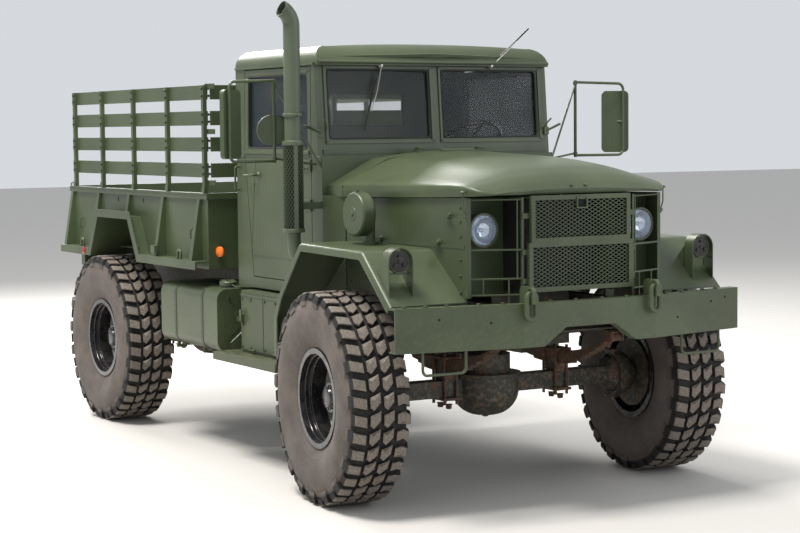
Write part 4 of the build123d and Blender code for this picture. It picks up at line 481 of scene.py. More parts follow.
# Each finish is specked with its worn colour; on the silver bowl the specks are broad patches of
# painted reflection.
for small_name, slot, base, worn, rough, metallic, grain in SMALL:
    small = Finish(small_name, slot)
    specks_and_reflection_patches = small.share(small.noise(grain, 4.0, 0.6), 0.48, 0.78)
    colour = small.between(specks_and_reflection_patches * 0.6, base, worn)
    colour = small.between(dusty_share(small, 0.2), colour, DUST)
    relief = small.bump(small.noise(grain * 2, 2.0), 0.0006, 0.3, small.rounded(0.001))
    finishes[small_name] = small.surface({"Base Color": colour, "Roughness": rough + specks_and_reflection_patches * 0.15,
                                          "Metallic": metallic, "Normal": relief})
rubber, enamel, steel, painted_shade = (finishes[name] for name in
                               ("seal_rubber", "black_enamel", "bright_steel", "painted_shade_black"))
trim_paint = olive_paint("olive_trim", 0.0015, 0.12, 0.38)

# Tyres: single off-road tyres, bulging between the rim's flanges. The tread has four rows of
# kinked lugs that line up into zigzag bars, and every other outer lug wraps the shoulder. They
# are moulded in one with the carcass. Each stands for the CAD's plain tyre.
TREAD_FLOOR = 587
TYRE_HALF = 188
TREAD_HALF = 165
BEAD = (135, 264)
FLANGE_RADIUS = 289
WALL_RADIUS = 420
SHOULDER_RADIUS = 560
LUG_PITCHES = 38
LUG_SINK = 8
LUG_DRAFT = 0.14
LUG_HALF = 27.5
ZIGZAG = [(-190, -6), (-165, -6), (-92, 12), (-72, 2), (-50, 22), (-10, -22), (10, 2), (32, 22),
          (70, -22), (92, 2), (125, -12), (165, 10), (190, 10)]
FOOT = TREAD_FLOOR - LUG_SINK
LUG_TOP = 608.5
LONG_LUG = [(92, FOOT), (92, LUG_TOP), (128, LUG_TOP), (TREAD_HALF - 3, 606.5),
            (TREAD_HALF + 7, 598), (TYRE_HALF - 3, 552), (TYRE_HALF - 6, 532), (160, 540)]
SHORT_LUG = [(92, FOOT), (92, LUG_TOP), (128, LUG_TOP), (TREAD_HALF - 7, 606.5), (TREAD_HALF, 598),
             (TREAD_HALF + 7, 572), (150, 560)]
INNER_LUGS = [
    [(-71, FOOT), (-71, 609), (-52, 609), (-11, 609), (-11, FOOT), (-52, FOOT)],
    [(11, FOOT), (11, 609), (30, 609), (69, 609), (69, FOOT), (30, FOOT)],
]
TYRES = [
    # name, body, centre, turn about the upright, finish
    ("front_left", "front_wheel_left", FRONT_TYRE, REST_TURN, front_rubber["left"]),
    ("front_right", "front_wheel_right", (-FRONT_TYRE[0], -FRONT_TYRE[1]), REST_TURN,
     front_rubber["right"]),
    ("rear_left", "rear_wheel_left", (-WHEELBASE, 890), 0.0, rear_rubber),
    ("rear_right", "rear_wheel_right", (-WHEELBASE, -890), 0.0, rear_rubber),
]


def arc(first, middle, last, steps):
    """Points on the circle through three points, from the first to the last."""
    (ax, ay), (bx, by), (cx, cy) = first, middle, last
    cross = 2 * (ax * (by - cy) + bx * (cy - ay) + cx * (ay - by))
    a2, b2, c2 = ax * ax + ay * ay, bx * bx + by * by, cx * cx + cy * cy
    centre = Vector(((a2 * (by - cy) + b2 * (cy - ay) + c2 * (ay - by)) / cross,
                     (a2 * (cx - bx) + b2 * (ax - cx) + c2 * (bx - ax)) / cross))
    start, end = Vector(first) - centre, Vector(last) - centre
    sweep = start.angle_signed(end)
    return [tuple(centre + Matrix.Rotation(-sweep * step / steps, 2) @ start)
            for step in range(steps + 1)]


def zigzag(across):
    """How far round the tyre a bar of the tread is set off, across the tread."""
    for (y0, s0), (y1, s1) in zip(ZIGZAG, ZIGZAG[1:]):
        if y0 <= across <= y1:
            return s0 + (s1 - s0) * (across - y0) / (y1 - y0)


def lug(kit, outline):
    """A lug as a prism across the tread, a little wider at its foot than at its top."""
    rows = []
    for end in (-1, 1):
        rows.append([Vector((end * (LUG_HALF + (TYRE_RADIUS - radius) * LUG_DRAFT) + zigzag(across),
                             across, radius)) / 1000 for across, radius in outline])
    kit.skin(rows)


def stood(centre, turn):
    """Where a wheel stands: over its centre on the ground, turned about the upright."""
    return Matrix.Translation(at(*centre, TYRE_RADIUS)) @ Matrix.Rotation(radians(turn), 4, "Z")


wall = arc((BEAD[0], FLANGE_RADIUS), (TYRE_HALF, WALL_RADIUS), (TREAD_HALF, SHOULDER_RADIUS), 12)
half_section = [(BEAD[0], BEAD[1]), *wall, (TREAD_HALF - 15, TREAD_FLOOR), (40, TREAD_FLOOR)]
tyre_section = half_section + [(-across, radius) for across, radius in reversed(half_section)]
tyre_section.append(half_section[0])
for tyre_name, body, centre, turn, finish in TYRES:
    kit = Kit()
    stand = stood(centre, turn)
    kit.where = stand @ Matrix.Translation(-at(0, 0, 0))
    kit.turned((0, 0, 0), (0, 1, 0), tyre_section, 120, caps=False)
    for pitch in range(LUG_PITCHES):
        kit.where = stand @ Matrix.Rotation(pi + 2 * pi * pitch / LUG_PITCHES, 4, "Y")
        for side in (1, -1):
            outline = LONG_LUG if (pitch + (side < 0)) % 2 else SHORT_LUG
            lug(kit, [(side * across, radius) for across, radius in outline])
        for outline in INNER_LUGS:
            lug(kit, outline)
    kit.done("lugged_tyre_" + tyre_name, body, finish, stands_for=["tyre_" + tyre_name])

# Wheel trim: the rim's rolled steps and lock ring, the hub's cap and the tyre's valve. They are
# pressed and turned steel in the wheel's black paint.
RIM_STEPS = [
    # across, radius, thickness
    (138, 279, 5), (112, 249, 4), (86, 248, 3), (-20, 243, 4), (-26, 214, 3),
]
ROLL_SIDES = 8
HUB_ACROSS = 62
HUB_CAP = [(0, 70), (5, 70), (8, 64), (22, 56), (24, 50)]
VALVE = [(150, 60, 190), (168, 96, 214), (160, 118, 206)]
for tyre_name, body, centre, turn, finish in TYRES:
    side = 1 if "left" in tyre_name else -1
    kit = Kit()
    kit.where = stood(centre, turn) @ Matrix.Translation(-at(0, 0, 0))
    for across, radius, thick in RIM_STEPS:
        step_ring = [(across + thick * cos(k * pi / 4), radius + thick * sin(k * pi / 4))
                     for k in range(ROLL_SIDES + 1)]
        kit.turned((0, 0, 0), (0, side, 0), step_ring, 72, caps=False)
    kit.turned((0, side * HUB_ACROSS, 0), (0, side, 0), HUB_CAP, 40)
    kit.tube([(x, side * y, z) for x, y, z in VALVE], 5, 8, 8)
    kit.done("rim_steps_" + tyre_name, body, wheel_black)

# Nuts and bolt heads: a hex head with a chamfered top on a round washer, stood by Geometry Nodes
# on points that know which way they face. One mesh a body, in the paint of what they hold.
HEAD_SIDES = 6
WASHER_SIDES = 16
WASHER_SHARE = 0.16
BODY_SHARE = 0.66
CAP_SHARE = 0.18
WASHER_SPREAD = 1.25
CHAMFER = 0.86


def bolt_tree():
    """The node group: Across, Height and Material are its inputs."""
    tree = bpy.data.node_groups.new("hex_bolts", "GeometryNodeTree")
    names = {}
    for socket_name, kind in (("Points", "NodeSocketGeometry"), ("Across", "NodeSocketFloat"),
                              ("Height", "NodeSocketFloat"), ("Material", "NodeSocketMaterial")):
        made = tree.interface.new_socket(socket_name, in_out="INPUT", socket_type=kind)
        names[socket_name] = made.identifier
    tree.interface.new_socket("Bolts", in_out="OUTPUT", socket_type="NodeSocketGeometry")

    def node(kind, settings=None, sockets=None):
        made = tree.nodes.new(kind)
        for key, value in (settings or {}).items():
            setattr(made, key, value)
        for key, value in (sockets or {}).items():
            if isinstance(value, bpy.types.NodeSocket):
                tree.links.new(value, made.inputs[key])
            else:
                made.inputs[key].default_value = value
        return made

    def maths(operation, first, second):
        return node("ShaderNodeMath", {"operation": operation}, {0: first, 1: second}).outputs[0]

    def disc(sides, low_radius, high_radius, depth, lift):
        cone = node("GeometryNodeMeshCone", None,
                    {"Vertices": sides, "Radius Bottom": low_radius, "Radius Top": high_radius,
                     "Depth": depth})
        offset = node("ShaderNodeCombineXYZ", None, {"Z": lift})
        return node("GeometryNodeTransform", None,
                    {"Geometry": cone.outputs[0], "Translation": offset.outputs[0]}).outputs[0]

    given = node("NodeGroupInput")
    radius = maths("DIVIDE", given.outputs["Across"], 2 * cos(pi / HEAD_SIDES))
    tall = given.outputs["Height"]
    washer_tall = maths("MULTIPLY", tall, WASHER_SHARE)
    washer_radius = maths("MULTIPLY", radius, WASHER_SPREAD)
    body_tall = maths("MULTIPLY", tall, BODY_SHARE)
    cap_tall = maths("MULTIPLY", tall, CAP_SHARE)
    cap_lift = maths("ADD", washer_tall, body_tall)
    joined = node("GeometryNodeJoinGeometry")
    for part in (disc(WASHER_SIDES, washer_radius, washer_radius, washer_tall, 0.0),
                 disc(HEAD_SIDES, radius, radius, body_tall, washer_tall),
                 disc(HEAD_SIDES, radius, maths("MULTIPLY", radius, CHAMFER), cap_tall, cap_lift)):
        tree.links.new(part, joined.inputs[0])
    facing = node("GeometryNodeInputNamedAttribute", {"data_type": "FLOAT_VECTOR"},
                  {"Name": "facing"})
    size = node("GeometryNodeInputNamedAttribute", {"data_type": "FLOAT"}, {"Name": "size"})
    turned_to = node("FunctionNodeAlignRotationToVector", {"axis": "Z"},
                     {"Vector": facing.outputs[0]})
    stood = node("GeometryNodeInstanceOnPoints", None,
                 {"Points": given.outputs["Points"], "Instance": joined.outputs[0],
                  "Rotation": turned_to.outputs[0], "Scale": size.outputs[0]})
    real = node("GeometryNodeRealizeInstances", None, {0: stood.outputs[0]})
    coloured = node("GeometryNodeSetMaterial", None,
                    {"Geometry": real.outputs[0], "Material": given.outputs["Material"]})
    node("NodeGroupOutput", None, {0: coloured.outputs[0]})
    return tree, names


hex_bolts, hex_inputs = bolt_tree()


def baked(thing):
    """The mesh that a piece's modifiers make of it."""
    evaluated = thing.evaluated_get(bpy.context.evaluated_depsgraph_get())
    return bpy.data.meshes.new_from_object(evaluated)


def bolts(name, body, material, across, height, places):
    """Bolt heads on a body, from (x, y, z, facing, size) rows."""
    points = bpy.data.meshes.new(name)
    points.from_pydata([at(*row[:3]) for row in places], [], [])
    points.attributes.new("facing", "FLOAT_VECTOR", "POINT")
    points.attributes.new("size", "FLOAT", "POINT")
    for i, row in enumerate(places):
        points.attributes["facing"].data[i].vector = Vector(row[3]).normalized()
        points.attributes["size"].data[i].value = row[4]
    carrier = linked(name + "_points", points)
    modifier = carrier.modifiers.new("bolts", "NODES")
    modifier.node_group = hex_bolts
    modifier[hex_inputs["Across"]] = across / 1000
    modifier[hex_inputs["Height"]] = height / 1000
    modifier[hex_inputs["Material"]] = material
    data = baked(carrier)
    data.name = name
    bpy.data.objects.remove(carrier)
    piece = linked(name, data)
    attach(piece, body)


WHEEL_BOLTS = [
    # count, across, radius, size: hub, drum, wheel nuts
    (12, 64, 62, 0.5), (8, -30, 178, 0.8), (10, -30, 128, 1.0),
]
for tyre_name, body, centre, turn, finish in TYRES:
    side = 1 if "left" in tyre_name else -1
    angle = radians(turn)
    outward = Vector((-sin(angle), cos(angle), 0)) * side
    along = Vector((cos(angle), sin(angle), 0))
    rows = []
    for count, across, radius, size in WHEEL_BOLTS:
        for k in range(count):
            spoke = along * cos(2 * pi * k / count) + Vector(UP) * sin(2 * pi * k / count)
            place = Vector((*centre, TYRE_RADIUS)) + outward * across + spoke * radius
            rows.append((*place, outward, size))
    bolts("wheel_nuts_" + tyre_name, body, wheel_black, 34, 24, rows)

# Fenders: a top of heavy sheet bent over the wheel, with its outer edge rolled down all round.
# Each is welded to the side panel and stands for the CAD's plain fender.
FENDER_LINE = [(-742, 780), (-742, 1020), (-670, 1160), (-395, 1478), (344, 1464), (655, 1178)]
FENDER_BEND = 70
FENDER_OUTER_Y = 1150
FENDER_EDGE = 22
FENDER_LIP = 48
FENDER_SHEET = 10
LIP_SHEET = 12
ROLL_STEPS = 5
FLANK_FOOT = (655, 655)
FLANK_SLOPE = 0.10844
FLANK_SHEET = 8
PANEL_REAR_X = -470
CAB_HALF = 845


def flank_y(x):
    """Where the side panel's inner face stands."""
    return FLANK_FOOT[1] + FLANK_SLOPE * (FLANK_FOOT[0] - x)


def rounded_line(corners, bend, steps=6):
    """The corners as a line of (place, normal) with its bends rounded, normals to the left."""
    line = []
    corners = [Vector(corner) for corner in corners]
    for i, corner in enumerate(corners):
        if i in (0, len(corners) - 1):
            other = corners[1] if i == 0 else corners[-2]
            run = (other - corner) if i == 0 else (corner - other)
            line.append((corner, Vector((-run.y, run.x)).normalized()))
            continue
        into = (corner - corners[i - 1]).normalized()
        out = (corners[i + 1] - corner).normalized()
        turn = into.angle_signed(out)
        slant = abs(tan(turn / 2))
        reach = min(bend * slant, (corner - corners[i - 1]).length * 0.48,
                    (corners[i + 1] - corner).length * 0.48)
        radius = reach / slant
        start = corner - into * reach
        first_normal = Vector((-into.y, into.x))
        hand = 1 if into.x * out.y - into.y * out.x > 0 else -1
        centre = start + first_normal * radius * hand
        for step in range(steps + 1):
            angle = hand * abs(turn) * step / steps
            normal = Matrix.Rotation(angle, 2) @ first_normal
            line.append((centre - normal * radius * hand, normal))
    return line


fender_rows = []
for (x, z), normal in rounded_line(FENDER_LINE, FENDER_BEND):
    inner = CAB_HALF if x < PANEL_REAR_X else flank_y(x) + FLANK_SHEET - 1
    section = [(inner, 0), (FENDER_OUTER_Y - FENDER_EDGE, 0)]
    for step in range(1, ROLL_STEPS + 1):
        angle = pi / 2 * step / ROLL_STEPS
        section.append((FENDER_OUTER_Y - FENDER_EDGE * (1 - sin(angle)),
                        FENDER_EDGE * (1 - cos(angle))))
    section += [(FENDER_OUTER_Y, FENDER_LIP), (FENDER_OUTER_Y - LIP_SHEET / 2, FENDER_LIP + 3),
                (FENDER_OUTER_Y - LIP_SHEET, FENDER_LIP),
                (FENDER_OUTER_Y - LIP_SHEET, FENDER_EDGE + 4),
                (FENDER_OUTER_Y - FENDER_EDGE, FENDER_SHEET), (inner, FENDER_SHEET)]
    fender_rows.append([at(x - normal.x * depth, y, z - normal.y * depth) for y, depth in section])
for side_name, side in SIDES:
    kit = Kit()
    kit.where = Matrix.Diagonal((1, side, 1, 1))
    kit.skin(fender_rows)
    kit.done("rolled_fender_" + side_name, "chassis", paint, stands_for=["fender_" + side_name])

# Headlights: sealed lamps in deep olive buckets, each with a thick retaining ring, a bright bowl
# with its bulb, and a domed, fluted lens. They sit on the shell and stand for the CAD's drums.
HEADLIGHT = (555, 541, 1571)
BUCKET = [(0, 70), (14, 84), (74, 90), (78, 97), (96, 99), (102, 95), (102, 86), (94, 84), (40, 60),
          (38, 0)]
BOWL = [(94, 84), (84, 78), (64, 58), (52, 30), (48, 0)]
BULB = [(60, 12), (74, 12), (78, 8), (80, 0)]
LENS = [(95, 85), (99, 76), (103, 60), (106, 40), (107.5, 20), (108, 0)]
kit = Kit()
kit.turned(HEADLIGHT, FORWARD, BUCKET, 48)
kit.done("headlight_buckets", "chassis", olive_paint("olive_ring", 0.002, 0.05, 0.3),
         both=True, stands_for=["headlights"])
# The bowl's blue tints, blotched light and dark, are painted reflection of the sky.
kit = Kit()
kit.turned(HEADLIGHT, FORWARD, BOWL, 48, caps=False)
kit.turned(HEADLIGHT, FORWARD, BULB, 16)
kit.done("headlight_bowls", "chassis", finishes["silver_bowl_painted_reflection"], both=True)
lens_finish = Finish("fluted_lens", "lamp_glass")
flutes = lens_finish.node("ShaderNodeTexWave", {"bands_direction": "Y"},
                          {"Vector": lens_finish.place(), "Scale": 22.0, "Distortion": 0.4})
fresnel = lens_finish.node("ShaderNodeFresnel", None, {"IOR": 1.5})
# The lens's pale blue base colour, blotched by noise, is painted reflection of the sky.
lens_glass = lens_finish.surface({
    "Base Color": lens_finish.between(lens_finish.noise(7.0), (0.55, 0.62, 0.70), (0.80, 0.86, 0.92)),
    "Roughness": 0.04, "Alpha": 0.20 + fresnel * 1.4,
    "Normal": lens_finish.bump(flutes, 0.002, 0.6)})
kit = Kit()
kit.turned(HEADLIGHT, FORWARD, LENS, 48, caps=False)
kit.done("headlight_lenses", "chassis", lens_glass, both=True)

# Fender lamps: black round lamps with three tabs, each inside a hoop of flat bar that is welded
# to the fender's slope and stayed by two gussets. They stand for the CAD's lamps and hoops.
LAMP = (589, 1047, 1415)
LAMP_BODY = [(-62, 0), (-62, 40), (-54, 54), (-30, 60), (-4, 62), (0, 61), (0, 56), (-5, 54), (-6, 0)]
LAMP_FACE = [(0, 54), (4, 52), (5, 38), (2, 34), (4, 12), (9, 9), (10, 0)]
LAMP_REAR_X = LAMP[0] - 33
LAMP_FOOT_Z = LAMP[2] - 70
HOOP = (78, 5)
HOOP_X = (527, 607)
HOOP_STEPS = 16
HOOP_SECTION = [(HOOP_X[0], HOOP[0]), (HOOP_X[1], HOOP[0]), (HOOP_X[1], HOOP[0] - HOOP[1]),
                (HOOP_X[0], HOOP[0] - HOOP[1])]
HOOP_SINK = 4
GUSSET_X = 465
TABS = (26, 42)
SLOPE = -0.9196
SLOPE_TOP = FENDER_LINE[4]


def slope_z(x):
    """The height of the fender's front slope."""
    return SLOPE_TOP[1] + SLOPE * (x - SLOPE_TOP[0])


feet = [[at(x, LAMP[1] + hand * reach, slope_z(x) - HOOP_SINK) for x, reach in HOOP_SECTION]
        for hand in (-1, 1)]
arch = []
for step in range(HOOP_STEPS + 1):
    angle = pi * step / HOOP_STEPS
    arch.append([at(x, LAMP[1] - radius * cos(angle), LAMP[2] + radius * sin(angle))
                 for x, radius in HOOP_SECTION])
kit = Kit()
kit.skin([feet[0], *arch, feet[1]])
for y in (LAMP[1] - HOOP[0], LAMP[1] + HOOP[0] - HOOP[1]):
    kit.plate([(HOOP_X[0], y, LAMP[2]), (HOOP_X[0], y, slope_z(HOOP_X[0])),
               (GUSSET_X, y, slope_z(GUSSET_X))], -HOOP[1])
kit.bar((LAMP_REAR_X, LAMP[1] - 74, LAMP_FOOT_Z), (LAMP_REAR_X, LAMP[1] + 74, LAMP_FOOT_Z), 30, 8)
kit.bar((LAMP_REAR_X, LAMP[1], LAMP_FOOT_Z), (LAMP_REAR_X, LAMP[1], LAMP_FOOT_Z + 30), 40, 12,
        FORWARD)
kit.turned(LAMP, FORWARD, LAMP_BODY, 40)
kit.done("fender_lamp_hoops", "chassis", trim_paint, both=True, stands_for=["fender_lamps"])
kit = Kit()
kit.turned((LAMP[0] - 6, *LAMP[1:]), FORWARD, LAMP_FACE, 40)
for k in range(3):
    angle = 2 * pi * k / 3 + pi / 2
    inner, outer = ((LAMP[0], LAMP[1] + reach * cos(angle), LAMP[2] + reach * sin(angle))
                    for reach in TABS)
    kit.bar(inner, outer, 14, 6, FORWARD)
kit.done("fender_lamp_faces", "chassis", enamel, both=True)

# Grille: two framed panels of expanded metal, bolted to the guard's posts by tabs, with a small
# open box on the upper frame. It stands for the CAD's grille, whose panels are closed sheets.
GRILLE_X = (803, 825)
GRILLE_PANELS = [
    # half width, bottom, top
    (339, 1500, 1760),
    (355, 1227, 1500),
]
GRILLE_FRAME = 26
DIAMOND = (41, 22)
STRAND = (4.5, 2.6)
MESH_X = (811, 813.6)
BOX_X = 815
BOX_HALF = 33
BOX_Z = (1687, 1748)
BOX_MIDDLE = 1717
BOX_WALL = 8
BOX_DEEP = 16
TAB_X = 797
TAB_Y = (340, 386)
TABS_Z = (1290, 1450, 1650)


def strand_ends(lean, rise, reach, low, high):
    """Where a slanting line across a window enters and leaves it, or None."""
    slope = lean * DIAMOND[1] / DIAMOND[0]
    ends = []
    for y in (-reach, reach):
        z = rise + slope * y
        if z < low or z > high:
            z = min(max(z, low), high)
            y = (z - rise) / slope
        if abs(y) > reach:
            return None
        ends.append((y, z))
    return ends if abs(ends[0][0] - ends[1][0]) > 2 else None


kit = Kit()
middle_x, deep = GRILLE_X[0], GRILLE_X[1] - GRILLE_X[0]
mid = GRILLE_FRAME / 2
for reach, low, high in GRILLE_PANELS:
    for z in (low + mid, high - mid):
        kit.bar((middle_x, -reach, z), (middle_x, reach, z), GRILLE_FRAME, deep, FORWARD)
    for y in (-reach + mid, reach - mid):
        kit.bar((middle_x, y, low + GRILLE_FRAME), (middle_x, y, high - GRILLE_FRAME), GRILLE_FRAME,
                deep, FORWARD)
half_wall = BOX_WALL / 2
for y in (-BOX_HALF, BOX_HALF):
    kit.bar((BOX_X, y, BOX_Z[0] - half_wall), (BOX_X, y, BOX_Z[1] + half_wall), BOX_WALL, BOX_DEEP,
            FORWARD)
for z in BOX_Z:
    kit.bar((BOX_X, half_wall - BOX_HALF, z), (BOX_X, BOX_HALF - half_wall, z), BOX_WALL, BOX_DEEP,
            FORWARD)
for z in TABS_Z:
    for side in (-1, 1):
        kit.bar((TAB_X, side * TAB_Y[0], z), (TAB_X, side * TAB_Y[1], z), 30, 8, FORWARD)
kit.done("grille_frames", "chassis", trim_paint, stands_for=["grille"])
kit = Kit()
for reach, low, high in GRILLE_PANELS:
    reach, low, high = reach - GRILLE_FRAME + 3, low + GRILLE_FRAME - 3, high - GRILLE_FRAME + 3
    spread = reach * DIAMOND[1] / DIAMOND[0]
    for lean, x in ((1, MESH_X[0]), (-1, MESH_X[1])):
        rise = low - spread
        while rise < high + spread:
            ends = strand_ends(lean, rise, reach, low, high)
            if ends:
                kit.bar((x, *ends[0]), (x, *ends[1]), STRAND[0], STRAND[1], (1, 0, 0.35 * lean))
            rise += DIAMOND[1]
kit.done("expanded_metal", "chassis", olive_paint("olive_mesh", 0.0008, 0.2, 0.45))
# The plate at the back of the open box is near-black: painted shade inside the box.
kit = Kit()
kit.bar((BOX_X + 1, half_wall - BOX_HALF, BOX_MIDDLE), (BOX_X + 1, BOX_HALF - half_wall, BOX_MIDDLE),
        54, 2, FORWARD)
kit.done("grille_box_back", "chassis", painted_shade)

# Brush guard bars: thin rods welded between the guard's wings, and a domed latch knob on each
# side that pulls the hood's edge down.
GUARD_FOOT = (671, 656)
GUARD_INNER = (790, 380)
GUARD_BARS = [(0.275, 1215, 1305), (0.75, 1120, 1305), (0.91, 1305, 1742)]
LATCH_FOOT = ((676, 660, 1640), (676, 676, 1660))
LATCH_ROD = [(676, 672, 1650), (676, 690, 1700), (676, 690, 1778)]
LATCH_KNOB = [(-2, 6), (1, 15), (8, 15), (13, 10), (15, 0)]


def guard_at(share, z):
    """A place on the guard's wing, 0 at its outer post and 1 at its inner one."""
    return (GUARD_FOOT[0] + share * (GUARD_INNER[0] - GUARD_FOOT[0]),
            GUARD_FOOT[1] + share * (GUARD_INNER[1] - GUARD_FOOT[1]), z)


kit = Kit()
for share, low, high in GUARD_BARS:
    kit.tube([guard_at(share, low), guard_at(share, high)], 5)
kit.tube(LATCH_ROD, 4, 10)
kit.turned(LATCH_ROD[-1], UP, LATCH_KNOB, 20)
kit.bar(*LATCH_FOOT, 26, 8, FORWARD)
kit.done("guard_bars", "chassis", trim_paint, both=True)

# Bumper trim: bolt heads along its top edge and small holes in its face. The bumper is bent
# channel, straight in the middle and swept back at its ends.
BUMPER_X = 911
BUMPER_TOP = 1177
BUMPER_BEND_Y = 450
BUMPER_SWEEP = 145
BUMPER_END_Y = 1180
TOP_BOLTS_Y = (-1120, -1000, -880, -700, -560, -420, -260, -90, 90, 260, 420, 560, 700, 880, 1000)
FACE_HOLES = [(-640, 1082), (640, 1040), (935, 1110), (1060, 1128), (-935, 1110)]
FACE_HOLE = [(0, 7), (4.2, 7), (4.3, 0)]


def bumper_x(y):
    """The bumper's face at y: straight in the middle and swept back at its ends."""
    share = max(0.0, (abs(y) - BUMPER_BEND_Y) / (BUMPER_END_Y - BUMPER_BEND_Y))
    return BUMPER_X - BUMPER_SWEEP * share


bolts("bumper_bolts", "chassis", paint, 22, 12,
      [(bumper_x(y) - 24, y, BUMPER_TOP - 1, UP, 1.0) for y in TOP_BOLTS_Y])
# The holes are near-black discs: painted shade inside them.
kit = Kit()
for y, z in FACE_HOLES:
    kit.turned((bumper_x(y) - 3, y, z), FORWARD, FACE_HOLE, 16)
kit.done("bumper_holes", "chassis", painted_shade)

# Hood: one pressed shell whose raised crown flows into low shoulders and rolls down at the nose,
# hinged at the cowl on a short rod. It stands for the CAD's hood, whose faces are ruled.
HOOD_LINES = [
    # x, half width, crown edge y, then heights: lower edge, shoulder, crown edge, crown
    (-475, 805, 500, 1735, 1800, 1955, 1998),
    (150, 738, 460, 1745, 1810, 1940, 1972),
    (550, 690, 420, 1755, 1815, 1905, 1932),
    (680, 666, 408, 1759, 1808, 1872, 1893),
    (755, 625, 396, 1763, 1790, 1831, 1846),
    (800, 560, 380, 1766, 1775, 1790, 1800),
]
HOOD_SHEET = 8
HOOD_NOSE_X = 800
NOSE_ROLL = ((0.0, 0), (0.35, 0), (0.8, 1), (1.0, 5))
HINGE_ROD = [(-470, -120, 2004), (-470, 120, 2004)]
HINGE_LEAF = ((-475, 0, 1990), (-425, 0, 1990))


def flowing(points, steps):
    """A smooth line through the points."""
    points = [Vector(point) for point in points]
    ends = [points[0] * 2 - points[1], *points, points[-1] * 2 - points[-2]]
    line = []
    for a, b, c, d in zip(ends, ends[1:], ends[2:], ends[3:]):
        for step in range(steps):
            t = step / steps
            line.append(((b * 2) + (c - a) * t + (a * 2 - b * 5 + c * 4 - d) * t * t
                         + (b * 3 - a - c * 3 + d) * t ** 3) / 2)
    return [*line, points[-1]]


def hood_ring(station):
    """Half of the hood's section at a station, from its lower edge to its crown."""
    x, half, edge_y, low, shoulder, edge_z, crown = station
    rise = edge_z - shoulder
    return flowing([(half, low), (half, shoulder - rise * 0.12), (half - 26, shoulder + rise * 0.16),
                    ((half * 0.45 + edge_y * 0.55), shoulder + rise * 0.56),
                    (edge_y - 20, edge_z - rise * 0.02),
                    (edge_y * 0.55, edge_z + (crown - edge_z) * 0.72), (0, crown)], 6)


hood_rows = []
for station in flowing(HOOD_LINES, 7):
    half_ring = hood_ring(station)
    outer = [(y, z) for y, z in half_ring] + [(-y, z) for y, z in reversed(half_ring[:-1])]
    inner = [(y * (1 - HOOD_SHEET / half_ring[0].x), max(z - HOOD_SHEET, station[3]))
             for y, z in reversed(outer)]
    hood_rows.append([at(station[0], y, z) for y, z in outer + inner])
kit = Kit()
kit.skin(hood_rows, caps=False)
for back in (0, HOOD_SHEET):
    kit.skin([[at(HOOD_NOSE_X - back - roll, y, z + (HOOD_LINES[-1][3] - z) * share) for y, z in outer]
              for share, roll in NOSE_ROLL], closed=False, caps=False)
kit.tube(HINGE_ROD, 8)
kit.bar(*HINGE_LEAF, 240, 12)
kit.done("pressed_hood", "hood", paint, smooth=50, stands_for=["hood"])

# Hood trim: two small bolts on the nose and hold-down latches where it meets the cowl. Each latch
# is a folded clip on a welded plate.
NOSE_BOLTS_Y = (-49, 47)
NOSE_FACING = (1, 0, 0.25)
LATCHES = [(-560, -214, 1984), (-545, 214, 1984)]
kit = Kit()
for x, y, z in LATCHES:
    kit.bar((x - 70, y, z + 12), (x + 10, y, z + 12), 26, 5)
    for off in (-9, 9):
        kit.tube([(x - 60, y + off, z + 18), (x - 30, y + off, z + 38), (x + 20, y + off, z + 30)],
                 4, 10)
    kit.tube([(x + 20, y - 12, z + 30), (x + 20, y + 12, z + 30)], 6)
kit.done("cowl_latches", "chassis", trim_paint)
bolts("hood_nose_bolts", "hood", paint, 15, 9,
      [(796, y, 1812, NOSE_FACING, 1.0) for y in NOSE_BOLTS_Y])

# Side panel trim: a seam's cover strip, turn fasteners in a line behind the front edge, a
# T-handle at the seam and a second one above it.
SEAM_Z = 1480
SEAM_X = ((-460, 100), (110, 645))
TURN_HANDLES = ((420, 1500), (520, 1652), (-120, 1500), (-250, 1652))
TURN_BOSS = [(0, 22), (4, 22), (6, 14), (18, 12), (20, 0)]
TURN_HALF = 34
TURN_OFF = 18
SCREWS_X = (612, -430)
SCREWS_Z = (1230, 1320, 1410, 1540, 1620, 1700)


def panel_outer(x):
    """Where the side panel's outer face stands."""
    return flank_y(x) + FLANK_SHEET


kit = Kit()
for x0, x1 in SEAM_X:
    kit.bar((x0, panel_outer(x0) - 1, SEAM_Z), (x1, panel_outer(x1) - 1, SEAM_Z), 16, 3.5,
            (FLANK_SLOPE, 1, 0))
for x, z in TURN_HANDLES:
    y = panel_outer(x)
    kit.turned((x, y - 1, z), (FLANK_SLOPE, 1, 0), TURN_BOSS, 20)
    kit.bar((x - TURN_HALF, y + TURN_OFF, z), (x + TURN_HALF, y + TURN_OFF, z), 14, 10, LEFT)
kit.done("panel_handles", "chassis", trim_paint, both=True)
bolts("panel_screws", "chassis", paint, 14, 6,
      [(x, side * panel_outer(x), z, (FLANK_SLOPE, side, 0), 1.0)
       for side in (1, -1) for z in SCREWS_Z for x in SCREWS_X])

# Air intake: a band clamp round the drum's rim with its tightening bolt, and the dished middle of
# its cover. All are pressed steel in the body's paint.
INTAKE_X, INTAKE_Y, INTAKE_Z = -100, -950, 1647
BAND = [(0, 127), (0, 130), (10, 130), (10, 127)]
INTAKE_DISH = [(0, 40), (3, 38), (5, 14), (12, 12), (13, 0)]
kit = Kit()
kit.turned((INTAKE_X, INTAKE_Y + 34, INTAKE_Z), RIGHT, BAND, 56, caps=False)
kit.turned((INTAKE_X, INTAKE_Y + 1, INTAKE_Z), RIGHT, INTAKE_DISH, 32)
kit.bar((INTAKE_X - 20, INTAKE_Y + 24, INTAKE_Z + 128), (INTAKE_X + 20, INTAKE_Y + 24, INTAKE_Z + 128),
        14, 12)
kit.done("intake_clamp", "chassis", trim_paint)

